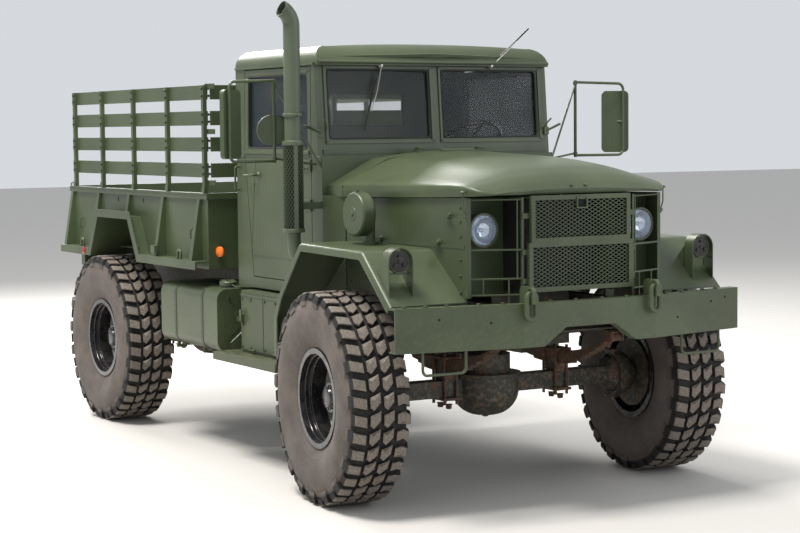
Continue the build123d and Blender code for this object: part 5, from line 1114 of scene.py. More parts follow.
# Exhaust stack: an elbow out of the cowl's side, a muffler inside a sleeve of expanded metal
# between two collars, and a clamped tail pipe whose end bends outward and is cut square. Soot
# lines its mouth. It stands for the CAD's straight stack.
STACK = (-672, -1034)
ELBOW_Z = 1355
PIPE_RADIUS = 50
PIPE_WALL = 3
SLEEVE_Z = (1523, 2066)
SLEEVE_RADIUS = 61
SLEEVE_TURNS = 20
SLEEVE_STEPS = 16
SLEEVE_WRAP = 0.78
SLEEVE_MARGIN = 20
STRAND_SECTION = ((-1.2, -2.2), (1.2, -1.0), (1.2, 2.2), (-1.2, 1.0))
STRAND_STRETCH = 1.6
LOW_COLLAR = [(0, 40), (0, 66), (20, 66), (22, 64), (24, 50)]
HIGH_COLLAR = [(-24, 50), (-22, 66), (0, 66), (2, 62), (6, 50)]
PIPE_STOPS = (2056, 2210, 2500, 2750)
TAIL_BEND = 114
TAIL_TURN = 65
TAIL_STEPS = 10
PIPE_SIDES = 32
CLAMP_Z = 2212
CLAMP_BAND = [(0, 50), (0, 56), (4, 58), (18, 58), (22, 56), (22, 50)]
CLAMP_MIDDLE = CLAMP_Z + 11
OUTLET = (-560, -770)
SPINE = (STACK[0] + 58, STACK[1] - 12)
SPINE_FACING = (1, -0.2, 0)
EAR_X = (STACK[0] + 52, STACK[0] + 84)
EAR_Y = STACK[1] - 4
PINCH_X = STACK[0] + 70
PINCH_Y = (STACK[1] - 26, STACK[1] + 24)
LOW_STAY = ((-695, STACK[1] + 40, 1680), (-695, -CAB_HALF - 2, 1680))
HIGH_STAY = ((-686, -1000, 2160), (-686, -850, 2150))
STACK_GREEN = (0.085, 0.108, 0.068)
SOOT = (0.012, 0.011, 0.010)
kit = Kit()
kit.tube([(*OUTLET, ELBOW_Z), (*STACK, ELBOW_Z), (*STACK, SLEEVE_Z[0] + 8)], 40, 80, 24)
kit.turned((*STACK, SLEEVE_Z[0]), UP, LOW_COLLAR, 40)
kit.turned((*STACK, SLEEVE_Z[1]), UP, HIGH_COLLAR, 40)
kit.bar((*SPINE, SLEEVE_Z[0]), (*SPINE, SLEEVE_Z[1]), 26, 5, SPINE_FACING)
line = [((*STACK, z), 0.0) for z in PIPE_STOPS]
for step in range(1, TAIL_STEPS + 1):
    angle = radians(TAIL_TURN) * step / TAIL_STEPS
    line.append(((STACK[0], STACK[1] - TAIL_BEND * (1 - cos(angle)),
                  PIPE_STOPS[-1] + TAIL_BEND * sin(angle)), angle))
lining = line[:2:-1]
pipe_rows = []
for radius, stops in ((PIPE_RADIUS, line), (PIPE_RADIUS - PIPE_WALL, lining)):
    for place, angle in stops:
        over = Vector((0, -cos(angle), -sin(angle)))
        pipe_rows.append(ring(at(*place), Vector(FORWARD), over, radius, PIPE_SIDES))
kit.skin(pipe_rows)
kit.turned((*STACK, CLAMP_Z), UP, CLAMP_BAND, 40, caps=False)
kit.bar((EAR_X[0], EAR_Y, CLAMP_MIDDLE), (EAR_X[1], EAR_Y, CLAMP_MIDDLE), 22, 8, LEFT)
kit.tube([(PINCH_X, PINCH_Y[0], CLAMP_MIDDLE), (PINCH_X, PINCH_Y[1], CLAMP_MIDDLE)], 6)
kit.bar(*LOW_STAY, 40, 30, FORWARD)
kit.bar(*HIGH_STAY, 26, 6)
stack_finish = Finish("stack_paint", "olive_paint")
mouth = stack_finish.share(stack_finish.height(), 2.80, 2.90)
soot = stack_finish.between(mouth * stack_finish.share(stack_finish.noise(30.0, 4.0), 0.3, 0.7),
                            STACK_GREEN, SOOT)
stack_paint = stack_finish.surface({
    "Base Color": soot, "Roughness": 0.36 + mouth * 0.3,
    "Normal": stack_finish.bump(stack_finish.noise(140.0, 2.0), 0.001, 0.3,
                                stack_finish.rounded(0.002))})
kit.done("bent_stack", "chassis", stack_paint, stands_for=["exhaust_stack"])
# The muffler is near-black: painted shade inside the sleeve, seen through the mesh.
kit = Kit()
kit.turned((*STACK, 0), UP, [(SLEEVE_Z[0] + 12, 55), (SLEEVE_Z[1] - 12, 55)], 40)
kit.done("stack_muffler", "chassis", painted_shade)
kit = Kit()
sleeve_length = SLEEVE_Z[1] - SLEEVE_Z[0] - 2 * SLEEVE_MARGIN
for hand in (1, -1):
    for turn in range(SLEEVE_TURNS):
        rows = []
        for step in range(SLEEVE_STEPS + 1):
            share = step / SLEEVE_STEPS
            angle = 2 * pi * turn / SLEEVE_TURNS + hand * share * 2 * pi * SLEEVE_WRAP
            z = SLEEVE_Z[0] + SLEEVE_MARGIN + share * sleeve_length
            section = []
            for radial, along in STRAND_SECTION:
                radius = SLEEVE_RADIUS - 1 + radial + 0.4 * hand
                section.append(at(STACK[0] + radius * cos(angle), STACK[1] + radius * sin(angle),
                                  z + along * STRAND_STRETCH))
            rows.append(section)
        kit.skin(rows)
kit.done("stack_mesh", "chassis", olive_paint("olive_sleeve", 0.0008, 0.1, 0.42))

# Windows: flat panes with a thin film of dust, set in black rubber channels that show as a dark
# line round each pane.
GLASS_TINT = (0.060, 0.085, 0.105)
SEAL_RADIUS = 6
SEAL_BEND = 26
SCREEN_FOOT = (-698, 1975)
SCREEN_LEAN = 46 / 550
SCREEN_PANE = ((48, 2079), (762, 2079), (762, 2497), (48, 2497))
REAR_PANE_X = -1837
REAR_PANE = ((-417, 2163), (417, 2163), (417, 2377), (-417, 2377))
DOOR_PANE_Y = 841
DOOR_PANE = ((-846, 2022), (-1669, 2022), (-1654, 2473), (-846, 2473))
glass_finish = Finish("window_glass", "window_glass")
film = glass_finish.share(glass_finish.noise(4.0, 6.0, 0.6), 0.40, 0.85)
glass_fresnel = glass_finish.node("ShaderNodeFresnel", None, {"IOR": 1.5})
window_glass = glass_finish.surface({
    "Base Color": glass_finish.between(film * 0.3, GLASS_TINT, DUST), "Roughness": 0.03 + film * 0.10,
    "Alpha": 0.05 + glass_fresnel * 0.9 + film * 0.04, "Specular IOR Level": 0.9})
dress(window_glass, "cab_glass", "door_glass_left", "door_glass_right")


def screen_x(z, lift=0.0):
    """The windshield's face at a height."""
    return SCREEN_FOOT[0] - SCREEN_LEAN * (z - SCREEN_FOOT[1]) + lift


def seal(name, body, corners, both=False):
    """A rubber channel along a pane's edge."""
    kit = Kit()
    kit.loop(corners, SEAL_RADIUS, SEAL_BEND)
    kit.done(name, body, rubber, both)


seal("screen_seals", "chassis", [(screen_x(z, -2), y, z) for y, z in SCREEN_PANE], True)
seal("rear_seal", "chassis", [(REAR_PANE_X, y, z) for y, z in REAR_PANE])
for side_name, side in SIDES:
    seal("door_seal_" + side_name, "door_" + side_name,
         [(x, side * DOOR_PANE_Y, z) for x, z in DOOR_PANE])

# Windshield frame trim: the raised inner frames that hold each pane, the hinge rod along the top,
# and the drip mouldings above it. All are pressed sheet in the body's paint.
FRAME_Z = (2056, 2514)
FRAME_Y = (32, 784)
FRAME_REACH = (24, 792)
FRAME_DEEP = 9
HINGE_LINE = [(-700, 0, 2545), (-700, 838, 2545)]
VISOR = ((-720, 0, 2585), (-740, 842, 2560))
GUTTER = ((-1830, CAB_HALF, 2533), (-742, CAB_HALF, 2533))
COWL_Z = 2000
screen_out = (1, 0, SCREEN_LEAN)
kit = Kit()
for z in FRAME_Z:
    kit.bar((screen_x(z), FRAME_REACH[0], z), (screen_x(z), FRAME_REACH[1], z), 16, FRAME_DEEP,
            screen_out)
for y in FRAME_Y:
    kit.bar((screen_x(FRAME_Z[0]), y, FRAME_Z[0]), (screen_x(FRAME_Z[1]), y, FRAME_Z[1]), 14,
            FRAME_DEEP, screen_out)
kit.tube(HINGE_LINE, 11, 0, 12)
kit.bar(*VISOR, 10, 18, (0.3, 0, 1))
kit.bar(*GUTTER, 14, 12, LEFT)
kit.bar((screen_x(COWL_Z), 0, COWL_Z), (screen_x(COWL_Z), 815, COWL_Z), 30, 7, FORWARD)
kit.done("screen_frames", "chassis", trim_paint, both=True)

# Wipers: a motor boss above each pane, a thin arm and a rubber blade. The left one is folded up
# clear of the glass, as it is parked for washing.
WIPERS = [
    # boss, elbow, blade's two ends
    ((-725, -399, 2522), (-722, -430, 2360), (-722, -432, 2440), (-712, -522, 2130)),
    ((-725, 409, 2526), (-705, 500, 2606), (-706, 470, 2586), (-712, 693, 2768)),
]
WIPER_BOSS = [(0, 15), (14, 15), (18, 10), (26, 8), (27, 0)]
WIPER_OUT = (1, 0, 0.1)
blade_kit = Kit()
kit = Kit()
for boss, elbow, blade_start, blade_end in WIPERS:
    kit.turned(boss, WIPER_OUT, WIPER_BOSS, 20)
    kit.tube([(boss[0] + 22, boss[1], boss[2]), (elbow[0] + 14, elbow[1], elbow[2]),
              (blade_end[0] + 12, (elbow[1] + blade_end[1]) / 2, (elbow[2] + blade_end[2]) / 2)],
             3.5, 12)
    blade_kit.bar(blade_start, blade_end, 9, 12, WIPER_OUT)
kit.done("wiper_arms", "chassis", steel)
blade_kit.done("wiper_blades", "chassis", rubber)

# Door trim: a double moulding under the window, a lock barrel, the rocker's lap seam, the grab
# handle behind, and inside a plain card panel with its crank and latch lever. Screwed and welded.
DOOR_BARS = [
    # start x and z, end x and z, width, depth
    ((-1712, 1994), (-815, 1994), 20, 9), ((-1712, 1972), (-815, 1972), 9, 5),
    ((-1598, 1330), (-808, 1330), 6, 2.5), ((-1690, 2006), (-824, 2006), 10, 4),
    ((-1690, 2489), (-824, 2489), 10, 4), ((-1640, 1350), (-1560, 1965), 3, 1.5),
]
HANDLE_BOSS = ((-1520, 1850), [(0, 26), (3, 26), (6, 18), (12, 14)], 24)
LOCK_BARREL = ((-1590, 1790), [(0, 12), (4, 12), (5, 9), (6, 0)], 20)
CARD = ((-1560, 1600), (-840, 1600), 560, 5)
CARD_Y = 807
CRANK = (-1080, 1780)
CRANK_BOSS = [(4, 26), (12, 24), (16, 10), (30, 9)]
CRANK_ARM = [(-1080, 26, 1780), (-1080, 30, 1780), (-1180, 40, 1720)]
KNOB = (-1180, 1720)
KNOB_SHAPE = [(36, 9), (40, 13), (66, 12), (72, 0)]
LATCH_LEVER = [(-1400, 4, 1900), (-1400, 30, 1895), (-1520, 32, 1880)]
GRAB_X = -1790
GRAB_Y = (843, 883)
GRAB_Z = (1750, 1900)
GRAB_BOSS = [(0, 18), (3, 18), (5, 9)]
HINGE_BOLTS_X = (-872, -836)
HINGE_BOLTS_Z = (1348, 1382, 1658, 1692, 1898, 1932)
for side_name, side in SIDES:
    body = "door_" + side_name
    outward, inward = (0, side, 0), (0, -side, 0)
    y = side * CAB_HALF
    kit = Kit()
    for (x0, z0), (x1, z1), wide, deep in DOOR_BARS:
        kit.bar((x0, y, z0), (x1, y, z1), wide, deep, outward)
    for (x, z), profile, count in (HANDLE_BOSS, LOCK_BARREL):
        kit.turned((x, y, z), outward, profile, count)
    kit.done("door_mouldings_" + side_name, body, trim_paint)
    card = side * CARD_Y
    kit = Kit()
    (x0, z0), (x1, z1), wide, deep = CARD
    kit.bar((x0, card, z0), (x1, card, z1), wide, deep, inward)
    kit.done("door_cards_" + side_name, body, trim_paint)
    kit = Kit()
    kit.turned((CRANK[0], card, CRANK[1]), inward, CRANK_BOSS, 24)
    kit.turned((KNOB[0], card, KNOB[1]), inward, KNOB_SHAPE, 16)
    for lever, radius, bend in ((CRANK_ARM, 6, 4), (LATCH_LEVER, 7, 10)):
        kit.tube([(x, card - side * off, z) for x, off, z in lever], radius, bend)
    kit.done("door_levers_" + side_name, body, steel)
kit = Kit()
kit.tube([(GRAB_X, GRAB_Y[0], GRAB_Z[0]), (GRAB_X, GRAB_Y[1], GRAB_Z[0]),
          (GRAB_X, GRAB_Y[1], GRAB_Z[1]), (GRAB_X, GRAB_Y[0], GRAB_Z[1])], 7, 14)
for z in GRAB_Z:
    kit.turned((GRAB_X, GRAB_Y[0] + 1, z), LEFT, GRAB_BOSS, 20)
kit.bar((-1838, CAB_HALF, 1968), (-1722, CAB_HALF, 1968), 9, 5, LEFT)
kit.done("grab_handles", "chassis", trim_paint, both=True)
for side_name, side in SIDES:
    bolts("door_hinge_bolts_" + side_name, "door_" + side_name, paint, 12, 6,
          [(x, side * 852, z, (0, side, 0), 1.0) for z in HINGE_BOLTS_Z for x in HINGE_BOLTS_X])

# Mirrors: silvered glass in a rubber rim on the back of each tall head and of the round one, with
# clamps where the heads and struts meet their tubes. All of it rides with the cab.
MIRROR_HEAD = (-740, 1410, 2170)
MIRROR_TURN = 30
MIRROR_HALF = (80, 194)
MIRROR_FACE = -15
ROUND_MIRROR = (-779, -1102, 2134)
ROUND_FACING = (-1, 0.35, 0)
ROUND_GLASS = [(24, 86), (26, 86), (32, 40), (34, 0)]
ROUND_RIM = [(18, 93), (28, 94), (30, 88), (18, 86)]
HEAD_CLAMP = ((-712, 1440, 2148), (-712, 1440, 2192))
TUBE_CLAMP_AT = (-770, 1108)
TUBE_CLAMPS_Z = (1952, 2414)
LOW_STRUT = [(-700, 936, 2158), (-700, 828, 2115)]
SCREEN_CLAMP = ((screen_x(2115), 828, 2090), (screen_x(2140), 828, 2140))
CLAMP_HANDLE = [(-694, 800, 2118), (-678, 800, 2150), (-650, 832, 2196)]
kit = Kit()
rim_kit = Kit()
for side in (1, -1):
    turn = Matrix.Rotation(radians(-MIRROR_TURN * side), 3, "Z")
    centre = Vector((MIRROR_HEAD[0], side * MIRROR_HEAD[1], MIRROR_HEAD[2]))
    face = [tuple(centre + turn @ Vector((MIRROR_FACE, y * MIRROR_HALF[0], z * MIRROR_HALF[1])))
            for y, z in ((-1, -1), (1, -1), (1, 1), (-1, 1))]
    kit.plate(face, 2.0)
    rim_kit.loop(face, 4, 12)
kit.turned(ROUND_MIRROR, ROUND_FACING, ROUND_GLASS, 40)
rim_kit.turned(ROUND_MIRROR, ROUND_FACING, ROUND_RIM, 40, caps=False)
kit.done("mirror_glass", "chassis", finishes["mirror_face"])
rim_kit.done("mirror_rims", "chassis", rubber)
kit = Kit()
for side in (1, -1):
    kit.bar(*((x, side * y, z) for x, y, z in HEAD_CLAMP), 20, 30, REARWARD)
    for z in TUBE_CLAMPS_Z:
        kit.turned((TUBE_CLAMP_AT[0], side * TUBE_CLAMP_AT[1], z), UP, [(0, 14), (20, 14)], 16)
    kit.tube([(x, side * y, z) for x, y, z in LOW_STRUT], 8)
    kit.bar(*((x, side * y, z) for x, y, z in SCREEN_CLAMP), 34, 14, FORWARD)
    kit.tube([(x, side * y, z) for x, y, z in CLAMP_HANDLE], 5, 12)
kit.done("mirror_clamps", "chassis", trim_paint)

# Fuel tank trim: the filler's cap with its grips and chain, a gauge plate on top, the straps'
# bolts and drain. The tank wears its own paint: dark strap liners and a pressed cross on its ends.
STRAPS_X = (-2480, -2050)
TANK_X = -2265
TANK_MIDDLE = (-0.760, 0.895)
CROSS_SLOPE = 0.79
CROSS_HALF = (0.15, 0.18)
LINER = (0.012, 0.013, 0.011)
FILLER = (-1950, -870, 1124)
FILLER_CAP = [(-12, 53), (-12, 58), (10, 60), (16, 54), (20, 20), (20, 0)]
CHAIN = [(-1894, -870, 1120), (-1854, -856, 1104), (-1838, -800, 1102)]
GRIP_REACH = (20, 50)
GAUGE_AT = (-2150, -700, 1096)
GAUGE_PLATE = [(0, 46), (8, 46), (12, 30), (24, 28), (26, 0)]
DRAIN_AT = (TANK_X, -760, 700)
DRAIN = [(0, 26), (12, 26), (14, 14), (22, 12), (23, 0)]
STRAP_BOLT = [(-1000, 700), (-1012, 668), (-940, 664)]
tank_finish = Finish("tank_paint", "olive_paint")
tank_place = tank_finish.place()
tank_x = tank_finish.part_of(tank_place, "X")
strap_line = sum(tank_finish.line(tank_x - at(strap_x, 0, 0).x, 0.006, 0.009)
                 for strap_x in STRAPS_X)
tank_y = tank_finish.part_of(tank_place, "Y") - TANK_MIDDLE[0]
tank_z = tank_finish.part_of(tank_place, "Z") - TANK_MIDDLE[1]
cross = sum(tank_finish.line(tank_y * slope - tank_z, 0.010, 0.022)
            for slope in (CROSS_SLOPE, -CROSS_SLOPE))
ends = tank_finish.share(tank_finish.node("ShaderNodeMath", {"operation": "ABSOLUTE"},
                                          {0: tank_x - at(TANK_X, 0, 0).x}), 0.450, 0.454)
reach = tank_finish.line(tank_y, *CROSS_HALF)
tank_colour = tank_finish.between(tank_finish.share(tank_finish.noise(1.9), 0.35, 0.7), OLIVE,
                                  OLIVE_LIGHT)
tank_dust = dusty_share(tank_finish, 0.35)
tank_colour = tank_finish.between(tank_dust, tank_colour, DUST)
tank_colour = tank_finish.between(strap_line, tank_colour, LINER)
tank_relief = tank_finish.bump(cross * ends * reach, -0.010, 1.0, tank_finish.rounded(0.004))
tank_relief = tank_finish.bump(tank_finish.noise(200.0, 1.0), 0.0006, 0.25, tank_relief)
dress(tank_finish.surface({"Base Color": tank_colour, "Roughness": 0.36 + tank_dust * 1.5,
                           "Coat Weight": 0.12, "Normal": tank_relief}), "fuel_tank")
kit = Kit()
kit.turned(FILLER, UP, FILLER_CAP, 32)
for k in range(4):
    angle = pi / 4 + pi / 2 * k
    inner, outer = ((FILLER[0] + reach * cos(angle), FILLER[1] + reach * sin(angle), FILLER[2] + lift)
                    for reach, lift in zip(GRIP_REACH, (16, 12)))
    kit.bar(inner, outer, 12, 12)
kit.tube(CHAIN, 3, 12, 6)
kit.turned(GAUGE_AT, UP, GAUGE_PLATE, 32)
kit.turned(DRAIN_AT, DOWN, DRAIN, 24)
for strap_x in STRAPS_X:
    kit.tube([(strap_x, y, z) for y, z in STRAP_BOLT], 7, 8)
kit.done("tank_fittings", "chassis", trim_paint)

# Battery box trim: a hasp and staple, two hinges along the bottom and stiffening folds. Steps: a
# sheet of diamond tread plate, whose raised pattern is worn lighter on the crowns.
BOX_FACE = -927
BOX_FOLDS = [
    # start x and z, end x and z, width, depth
    ((-1636, 1076), (-1014, 1076), 12, 5), ((-1325, 730), (-1325, 1070), 4, 2.5),
]
HASP = ((-1606, -945, 900), (-1606, -945, 980))
STAPLE = [(-1606, -948, 905), (-1606, -966, 905), (-1606, -966, 935), (-1606, -948, 935)]
BOX_HINGES_X = (-1480, -1150)
BOX_HINGE = (40, BOX_FACE - 3, 726)
BOX_SCREWS_X = (-1622, -1500, -1300, -1150, -1030)
BOX_SCREWS_Z = (742, 1050)
TREAD_CELL = (26.0, 60.0, 1.0)
kit = Kit()
kit.bar(*HASP, 30, 7, RIGHT)
kit.tube(STAPLE, 4, 5)
for x in BOX_HINGES_X:
    kit.tube([(x - BOX_HINGE[0], *BOX_HINGE[1:]), (x + BOX_HINGE[0], *BOX_HINGE[1:])], 8)
for (x0, z0), (x1, z1), wide, deep in BOX_FOLDS:
    kit.bar((x0, BOX_FACE, z0), (x1, BOX_FACE, z1), wide, deep, RIGHT)
kit.done("box_fittings", "chassis", trim_paint)
bolts("box_screws", "chassis", paint, 14, 7,
      [(x, BOX_FACE, z, RIGHT, 1.0) for x in BOX_SCREWS_X for z in BOX_SCREWS_Z])
tread = Finish("tread_plate", "olive_paint")
cells = []
for turn in (45, -45):
    turned_place = tread.node("ShaderNodeMapping", None,
                              {"Vector": tread.place(), "Rotation": (0, 0, radians(turn)),
                               "Scale": TREAD_CELL})
    cell = tread.node("ShaderNodeTexVoronoi", {"feature": "F1"},
                      {"Vector": turned_place, "Scale": 1.0, "Randomness": 0.0})
    cells.append(1.0 - tread.share(cell, 0.18, 0.36))
wave = sum(cells)
step_dust = dusty_share(tread, 0.5)
step_colour = tread.between(step_dust, OLIVE, DUST)
step_colour = tread.between(wave * 0.25, step_colour, OLIVE_LIGHT)
dress(tread.surface({"Base Color": step_colour, "Roughness": 0.42 + step_dust,
                     "Normal": tread.bump(wave * tread.share(tread.facing_up(), 0.6, 0.9), 0.003, 0.7,
                                          tread.rounded(0.003))}), "running_boards")

# Cargo bed trim: welded tie-down rings on the sill, loops under the rail, drain slots, a stake
# pocket, round reflectors and the front clearance marker.
SILL_Y = 1058
SIDE_Y = 958
RAIL_Z = 1716
RAIL_X = (-4560, -2062)
RINGS_X = (-4180, -2385, -3120)
RING_HALF = 26
RING_Y = SILL_Y - 30
RING_Z = (1268, 1330)
LOOPS_X = (-4361, -2296)
LOOP = [(SIDE_Y - 2, 1480), (SIDE_Y + 24, 1474), (SIDE_Y + 24, 1414), (SIDE_Y - 2, 1408)]
POCKET = ((-2780, SILL_Y - 2, 1290), (-2780, SILL_Y - 2, 1345))
RAIL_PIN = [(-4540, 972, 1724), (-4540, 972, 1745), (-4470, 972, 1752)]
SLOTS_X = (-3620, -3150)
SLOT_Z = (1626, 1660)
SLOT_Y = SIDE_Y - 1.5
SIDE_REFLECTOR = ((-4083, SILL_Y - 3, 1245), [(0, 30), (6, 30), (9, 24), (10, 0)])
REAR_REFLECTORS = ((-4610, 430, 1262), (-4610, 560, 1262))
REAR_REFLECTOR = [(0, 24), (5, 24), (8, 18), (9, 0)]
MARKER = (-2044, 880, 1330)
MARKER_LENS = [(0, 36), (10, 36), (16, 30), (22, 16), (24, 0)]
TAIL_X = -4546
TAIL_LENSES = ((TAIL_X, 825, 1160), (TAIL_X, 862, 1160))
TAIL_LENS = [(0, 22), (4, 21), (8, 14), (9, 0)]
TAIL_BUTTON = ((TAIL_X, 882, 1126), [(0, 9), (3, 8), (4, 0)])
TAIL_HOOD = ((-4540, 850, 1212), (-4540, 850, 1222))
kit = Kit()
for x in RINGS_X:
    kit.tube([(x - RING_HALF, RING_Y, RING_Z[0]), (x - RING_HALF, RING_Y, RING_Z[1]),
              (x + RING_HALF, RING_Y, RING_Z[1]), (x + RING_HALF, RING_Y, RING_Z[0])], 9, 25, 12)
for x in LOOPS_X:
    kit.tube([(x, y, z) for y, z in LOOP], 6, 12)
kit.bar(*POCKET, 70, 26, RIGHT)
kit.bar((RAIL_X[0], SIDE_Y + 16, RAIL_Z), (RAIL_X[1], SIDE_Y + 16, RAIL_Z), 10, 5, LEFT)
kit.tube(RAIL_PIN, 5, 8)
kit.done("bed_rings", "chassis", trim_paint, both=True)
# The drain slots are near-black bars: painted shade in the openings.
kit = Kit()
for x in SLOTS_X:
    kit.bar((x, SLOT_Y, SLOT_Z[0]), (x, SLOT_Y, SLOT_Z[1]), 16, 2.5, LEFT)
kit.done("bed_slots", "chassis", painted_shade, both=True)
kit = Kit()
kit.turned(SIDE_REFLECTOR[0], LEFT, SIDE_REFLECTOR[1], 32)
for place in REAR_REFLECTORS:
    kit.turned(place, REARWARD, REAR_REFLECTOR, 28)
kit.done("red_reflectors", "chassis", finishes["red_lens"], both=True)
kit = Kit()
for side in (-1, 1):
    kit.turned((MARKER[0], side * MARKER[1], MARKER[2]), (0.35, side, 0), MARKER_LENS, 32)
kit.done("amber_markers", "chassis", finishes["amber_lens"])
kit = Kit()
for place in TAIL_LENSES:
    kit.turned(place, REARWARD, TAIL_LENS, 28)
kit.done("tail_lenses", "chassis", finishes["red_lens"], both=True)
kit = Kit()
kit.turned(TAIL_BUTTON[0], REARWARD, TAIL_BUTTON[1], 16)
kit.bar(*TAIL_HOOD, 110, 60, FORWARD)
kit.done("tail_lamp_hoods", "chassis", trim_paint, both=True)

# Tailgate trim: a pressed frame of raised ribs round five pans, two corner hooks and the hinge
# straps. It is welded to the gate and rides on it.
GATE_X = -4613
GATE_HALF = 922
GATE_Z = (1302, 1700)
GATE_PANS = 5
GATE_EDGE = 18
STRAPS_Y = (-520, 520)
STRAP_Z = (1236, 1330)
STRAP_BOLTS_Z = (1256, 1310)
STRAP_BOLT_OFF = 15
HOOK = [(-2, 1640), (-24, 1640), (-24, 1690)]
HOOK_Y = 900
kit = Kit()
for z in GATE_Z:
    kit.bar((GATE_X + 2, -GATE_HALF, z), (GATE_X + 2, GATE_HALF, z), 38, 7, REARWARD)
for k in range(GATE_PANS + 1):
    y = -GATE_HALF + GATE_EDGE + k * 2 * (GATE_HALF - GATE_EDGE) / GATE_PANS
    kit.bar((GATE_X + 2, y, GATE_Z[0] + 2), (GATE_X + 2, y, GATE_Z[1]), 40, 7, REARWARD)
for y in STRAPS_Y:
    kit.bar((GATE_X + 1, y, STRAP_Z[0]), (GATE_X + 1, y, STRAP_Z[1]), 60, 10, REARWARD)
for side in (1, -1):
    kit.tube([(GATE_X + x, side * HOOK_Y, z) for x, z in HOOK], 7, 6)
kit.done("tailgate_ribs", "tailgate", trim_paint)
bolts("tailgate_bolts", "tailgate", paint, 16, 8,
      [(GATE_X - 9, y + off, z, REARWARD, 1.0) for y in STRAPS_Y
       for off in (-STRAP_BOLT_OFF, STRAP_BOLT_OFF) for z in STRAP_BOLTS_Z])

# Rack hardware: two carriage bolts where each slat meets each post, with their nuts inside, and a
# latch plate at the front corners.
RACK_POSTS_X = (-4457, -3900, -3300, -2695, -2090)
FRONT_POSTS_Y = (-560, 0, 560)
SLATS_Z = (1872, 2045, 2219, 2390)
RACK_BOLT_OFF = 24
RACK_SIDE_Y = (928, 974)
RACK_FRONT_X = (-2090, -2044)
NUT_SIZE = 0.9
CORNERS_Z = (1790, 2130, 2430)
CORNER = ((-2092, 950), (-2050, 900))
CORNER_FACING = (0.6, 0.8, 0)
POST_FOOT_Y = 975
POST_FOOT_Z = (1724, 1760)
rack_rows = []
for z in [slat + off for slat in SLATS_Z for off in (-RACK_BOLT_OFF, RACK_BOLT_OFF)]:
    for side in (1, -1):
        for x in RACK_POSTS_X:
            rack_rows.append((x, side * RACK_SIDE_Y[1], z, (0, side, 0), 1.0))
            rack_rows.append((x, side * RACK_SIDE_Y[0], z, (0, -side, 0), NUT_SIZE))
    for y in FRONT_POSTS_Y:
        rack_rows.append((RACK_FRONT_X[1], y, z, FORWARD, 1.0))
        rack_rows.append((RACK_FRONT_X[0], y, z, REARWARD, NUT_SIZE))
bolts("rack_bolts", "chassis", enamel, 15, 8, rack_rows)
kit = Kit()
for z in CORNERS_Z:
    kit.bar((*CORNER[0], z), (*CORNER[1], z), 34, 6, CORNER_FACING)
for x in RACK_POSTS_X:
    kit.bar((x, POST_FOOT_Y, POST_FOOT_Z[0]), (x, POST_FOOT_Y, POST_FOOT_Z[1]), 46, 4, LEFT)
kit.done("rack_corners", "chassis", trim_paint, both=True)

# Bed boards: six thick boards laid along the bed and bolted down to its floor in pairs of bolts.
# They wear the body's paint, worn and dusty.
BOARDS_Y = (-700, -420, -140, 140, 420, 700)
BOARD = (250, 12)
BOARD_X = (-4560, -2090)
BOARD_Z = 1270
BOARD_BOLTS_X = (-4480, -3900, -3310, -2700, -2150)
BOARD_BOLT_OFF = 100
kit = Kit()
for y in BOARDS_Y:
    kit.bar((BOARD_X[0], y, BOARD_Z), (BOARD_X[1], y, BOARD_Z), *BOARD)
kit.done("bed_boards", "chassis", olive_paint("board_paint", 0.002, 0.5, 0.6, GRAIN_ALONG_X))
bolts("bed_board_bolts", "chassis", enamel, 14, 4,
      [(x, y + off, BOARD_Z + BOARD[1], UP, 1.0) for x in BOARD_BOLTS_X for y in BOARDS_Y
       for off in (-BOARD_BOLT_OFF, BOARD_BOLT_OFF)])

# Axles: the nuts under the springs' seats, on the ends of the bolts that hold spring and axle
# together. They are bare iron gone brown.
SPRING_NUT_Y = 399.52
SPRING_NUT_Z = 520
SPRING_NUT_OFF = 46
bolts("spring_nuts", "chassis", rusty, 22, 20,
      [(axle_x + off, y, SPRING_NUT_Z, DOWN, 1.4) for axle_x in (0, -WHEELBASE)
       for y in (-SPRING_NUT_Y, SPRING_NUT_Y) for off in (-SPRING_NUT_OFF, SPRING_NUT_OFF)])

# Seats: vinyl cushions and backs over foam, blown up by a cloth simulation and sewn into five
# flutes with a piped edge. They stand for the CAD's plain pads.
VOXEL = 0.012
PRESSURE = 4.0
LAST_FRAME = 20
PUFF_LIMIT = 0.014
START_INSET = 0.010
FLUTES = 5
FLUTE_DEPTH = 0.007
FLUTE_WIDTH = 0.006
FLUTE_MARGIN = 0.08
FLUTE_FRONT = 0.6
PAD_EDGE = 0.026
PIPING = 5
PIPING_BEND = 40
PIPING_INSET = 6
PIPING_TOP = 18
PIPING_FRONT = 16
ALL_ROUND = ((0, 0), (1, 0), (1, 1), (0, 1))
VINYL = (0.055, 0.062, 0.038)
VINYL_WORN = (0.090, 0.092, 0.062)
PADS = [
    # name, x, y, z, axis that faces the sitter
    ("driver_cushion", (-1700, -1250), (270, 740), (1490, 1600), 2),
    ("driver_back", (-1800, -1710), (270, 740), (1610, 2060), 0),
    ("passenger_cushion", (-1700, -1250), (-760, -60), (1490, 1600), 2),
    ("passenger_back", (-1800, -1710), (-760, -60), (1610, 2060), 0),
]


def plain_pad(name, low, high):
    """A pad before it is blown up: a block with rounded edges, remeshed evenly."""
    pad_mesh = bmesh.new()
    bmesh.ops.create_cube(pad_mesh, size=1.0)
    for vert in pad_mesh.verts:
        vert.co = [low[k] + (high[k] - low[k]) * (vert.co[k] + 0.5) for k in range(3)]
    bmesh.ops.bevel(pad_mesh, geom=pad_mesh.edges[:], offset=PAD_EDGE, segments=3, affect="EDGES",
                    profile=0.5)
    data = bpy.data.meshes.new(name)
    pad_mesh.to_mesh(data)
    pad_mesh.free()
    pad = linked(name, data)
    remesh = pad.modifiers.new("remesh", "REMESH")
    remesh.mode = "VOXEL"
    remesh.voxel_size = VOXEL
    pad.data = baked(pad)
    pad.modifiers.clear()
    return pad


